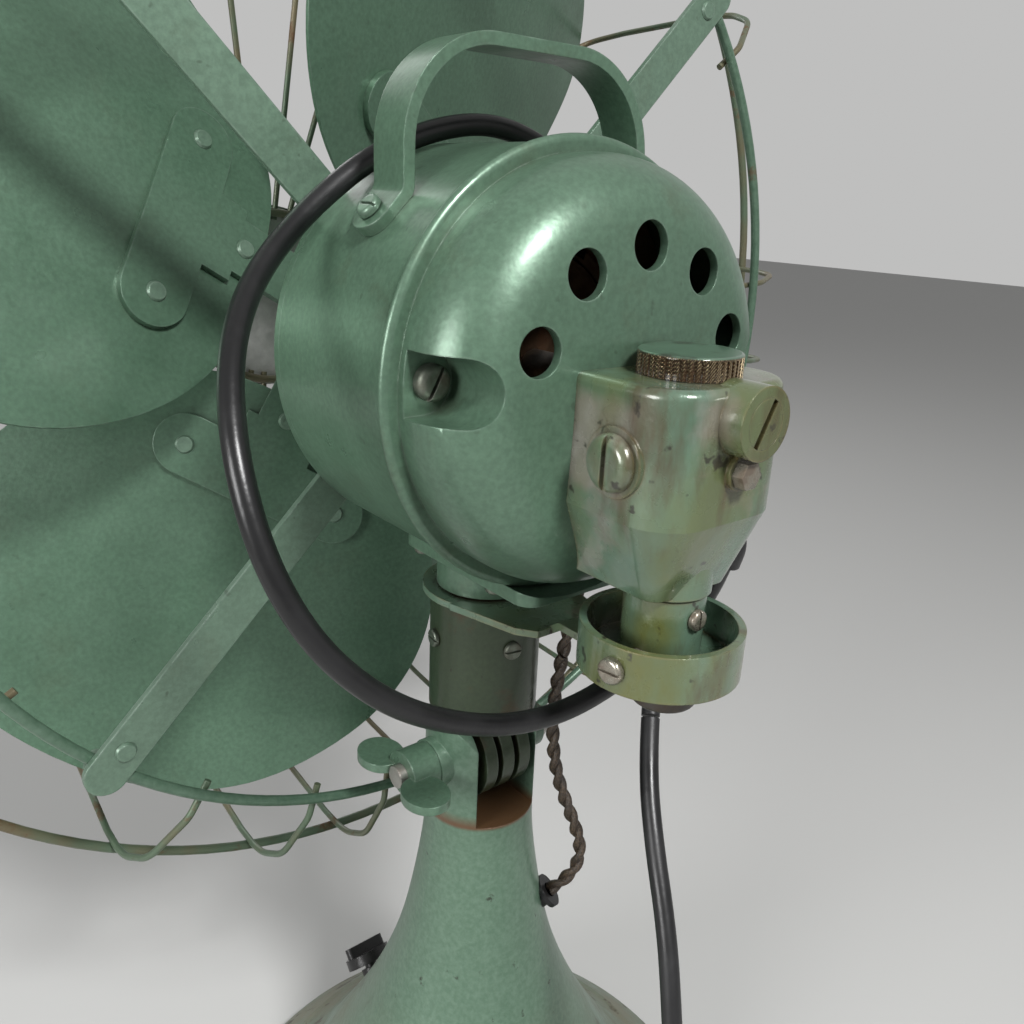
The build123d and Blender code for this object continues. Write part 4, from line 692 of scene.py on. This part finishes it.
def stage():
    mesh = bpy.data.meshes.new("floor")
    corners = [(x * FLOOR_REACH, y * FLOOR_REACH, 0) for x, y in ((-1, -1), (1, -1), (1, 1), (-1, 1))]
    mesh.from_pydata(corners, [], [(0, 1, 2, 3)])
    floor = bpy.data.objects.new("floor", mesh)
    bpy.context.scene.collection.objects.link(floor)
    paint = Paint("floor", FLOOR, 0.8)
    mesh.materials.append(paint.done())


stage()


def area_light(name, place, size, power):
    """Round lamp that faces the fan's head."""
    data = bpy.data.lights.new(name, "AREA")
    data.shape = "DISK"
    data.size = size
    data.energy = power
    lamp = bpy.data.objects.new(name, data)
    bpy.context.scene.collection.objects.link(lamp)
    lamp.location = place
    lamp.rotation_euler = (HEAD - Vector(place)).to_track_quat("-Z", "Y").to_euler()


HEAD = Vector((0, 0.02, 0.34))
area_light("key", (0.12, 1.05, 1.35), 0.30, 26)
area_light("left", (1.30, 0.12, 0.62), 0.6, 13)
area_light("front", (-0.3, -1.6, 1.1), 1.0, 7)

world = bpy.data.worlds.new("studio")
world.use_nodes = True
bpy.context.scene.world = world
glow = world.node_tree.nodes["Background"]
paths = world.node_tree.nodes.new("ShaderNodeLightPath")
shade = world.node_tree.nodes.new("ShaderNodeMix")
shade.data_type = "RGBA"
shade.inputs[6].default_value = ROOM_LIGHT
shade.inputs[7].default_value = BACKDROP
seen = paths.outputs["Is Camera Ray"]
for ray in ("Is Glossy Ray", "Is Transmission Ray"):
    either = world.node_tree.nodes.new("ShaderNodeMath")
    either.operation = "MAXIMUM"
    world.node_tree.links.new(seen, either.inputs[0])
    world.node_tree.links.new(paths.outputs[ray], either.inputs[1])
    seen = either.outputs[0]
world.node_tree.links.new(seen, shade.inputs["Factor"])
world.node_tree.links.new(shade.outputs[2], glow.inputs["Color"])
glow.inputs["Strength"].default_value = 1.0

PHOTO_EYE = Vector((0.18178, 0.22916, 0.41546))
PHOTO_AHEAD = Vector((-0.605794, -0.723376, -0.331272))
PHOTO_UP = Vector((-0.177401, -0.283077, 0.942548))
PHOTO_LENS = 31.914

camera_data = bpy.data.cameras.new("photo camera")
camera = bpy.data.objects.new("photo camera", camera_data)
bpy.context.scene.collection.objects.link(camera)
camera_data.lens = PHOTO_LENS
camera_data.sensor_width = 36.0
camera_data.clip_start = 0.005
to_right = PHOTO_AHEAD.cross(PHOTO_UP).normalized()
to_up = to_right.cross(PHOTO_AHEAD).normalized()
camera.matrix_world = Matrix.Translation(PHOTO_EYE) @ Matrix(
    (to_right, to_up, -PHOTO_AHEAD.normalized())
).transposed().to_4x4()
bpy.context.scene.camera = camera
bpy.context.scene.view_settings.view_transform = "Standard"
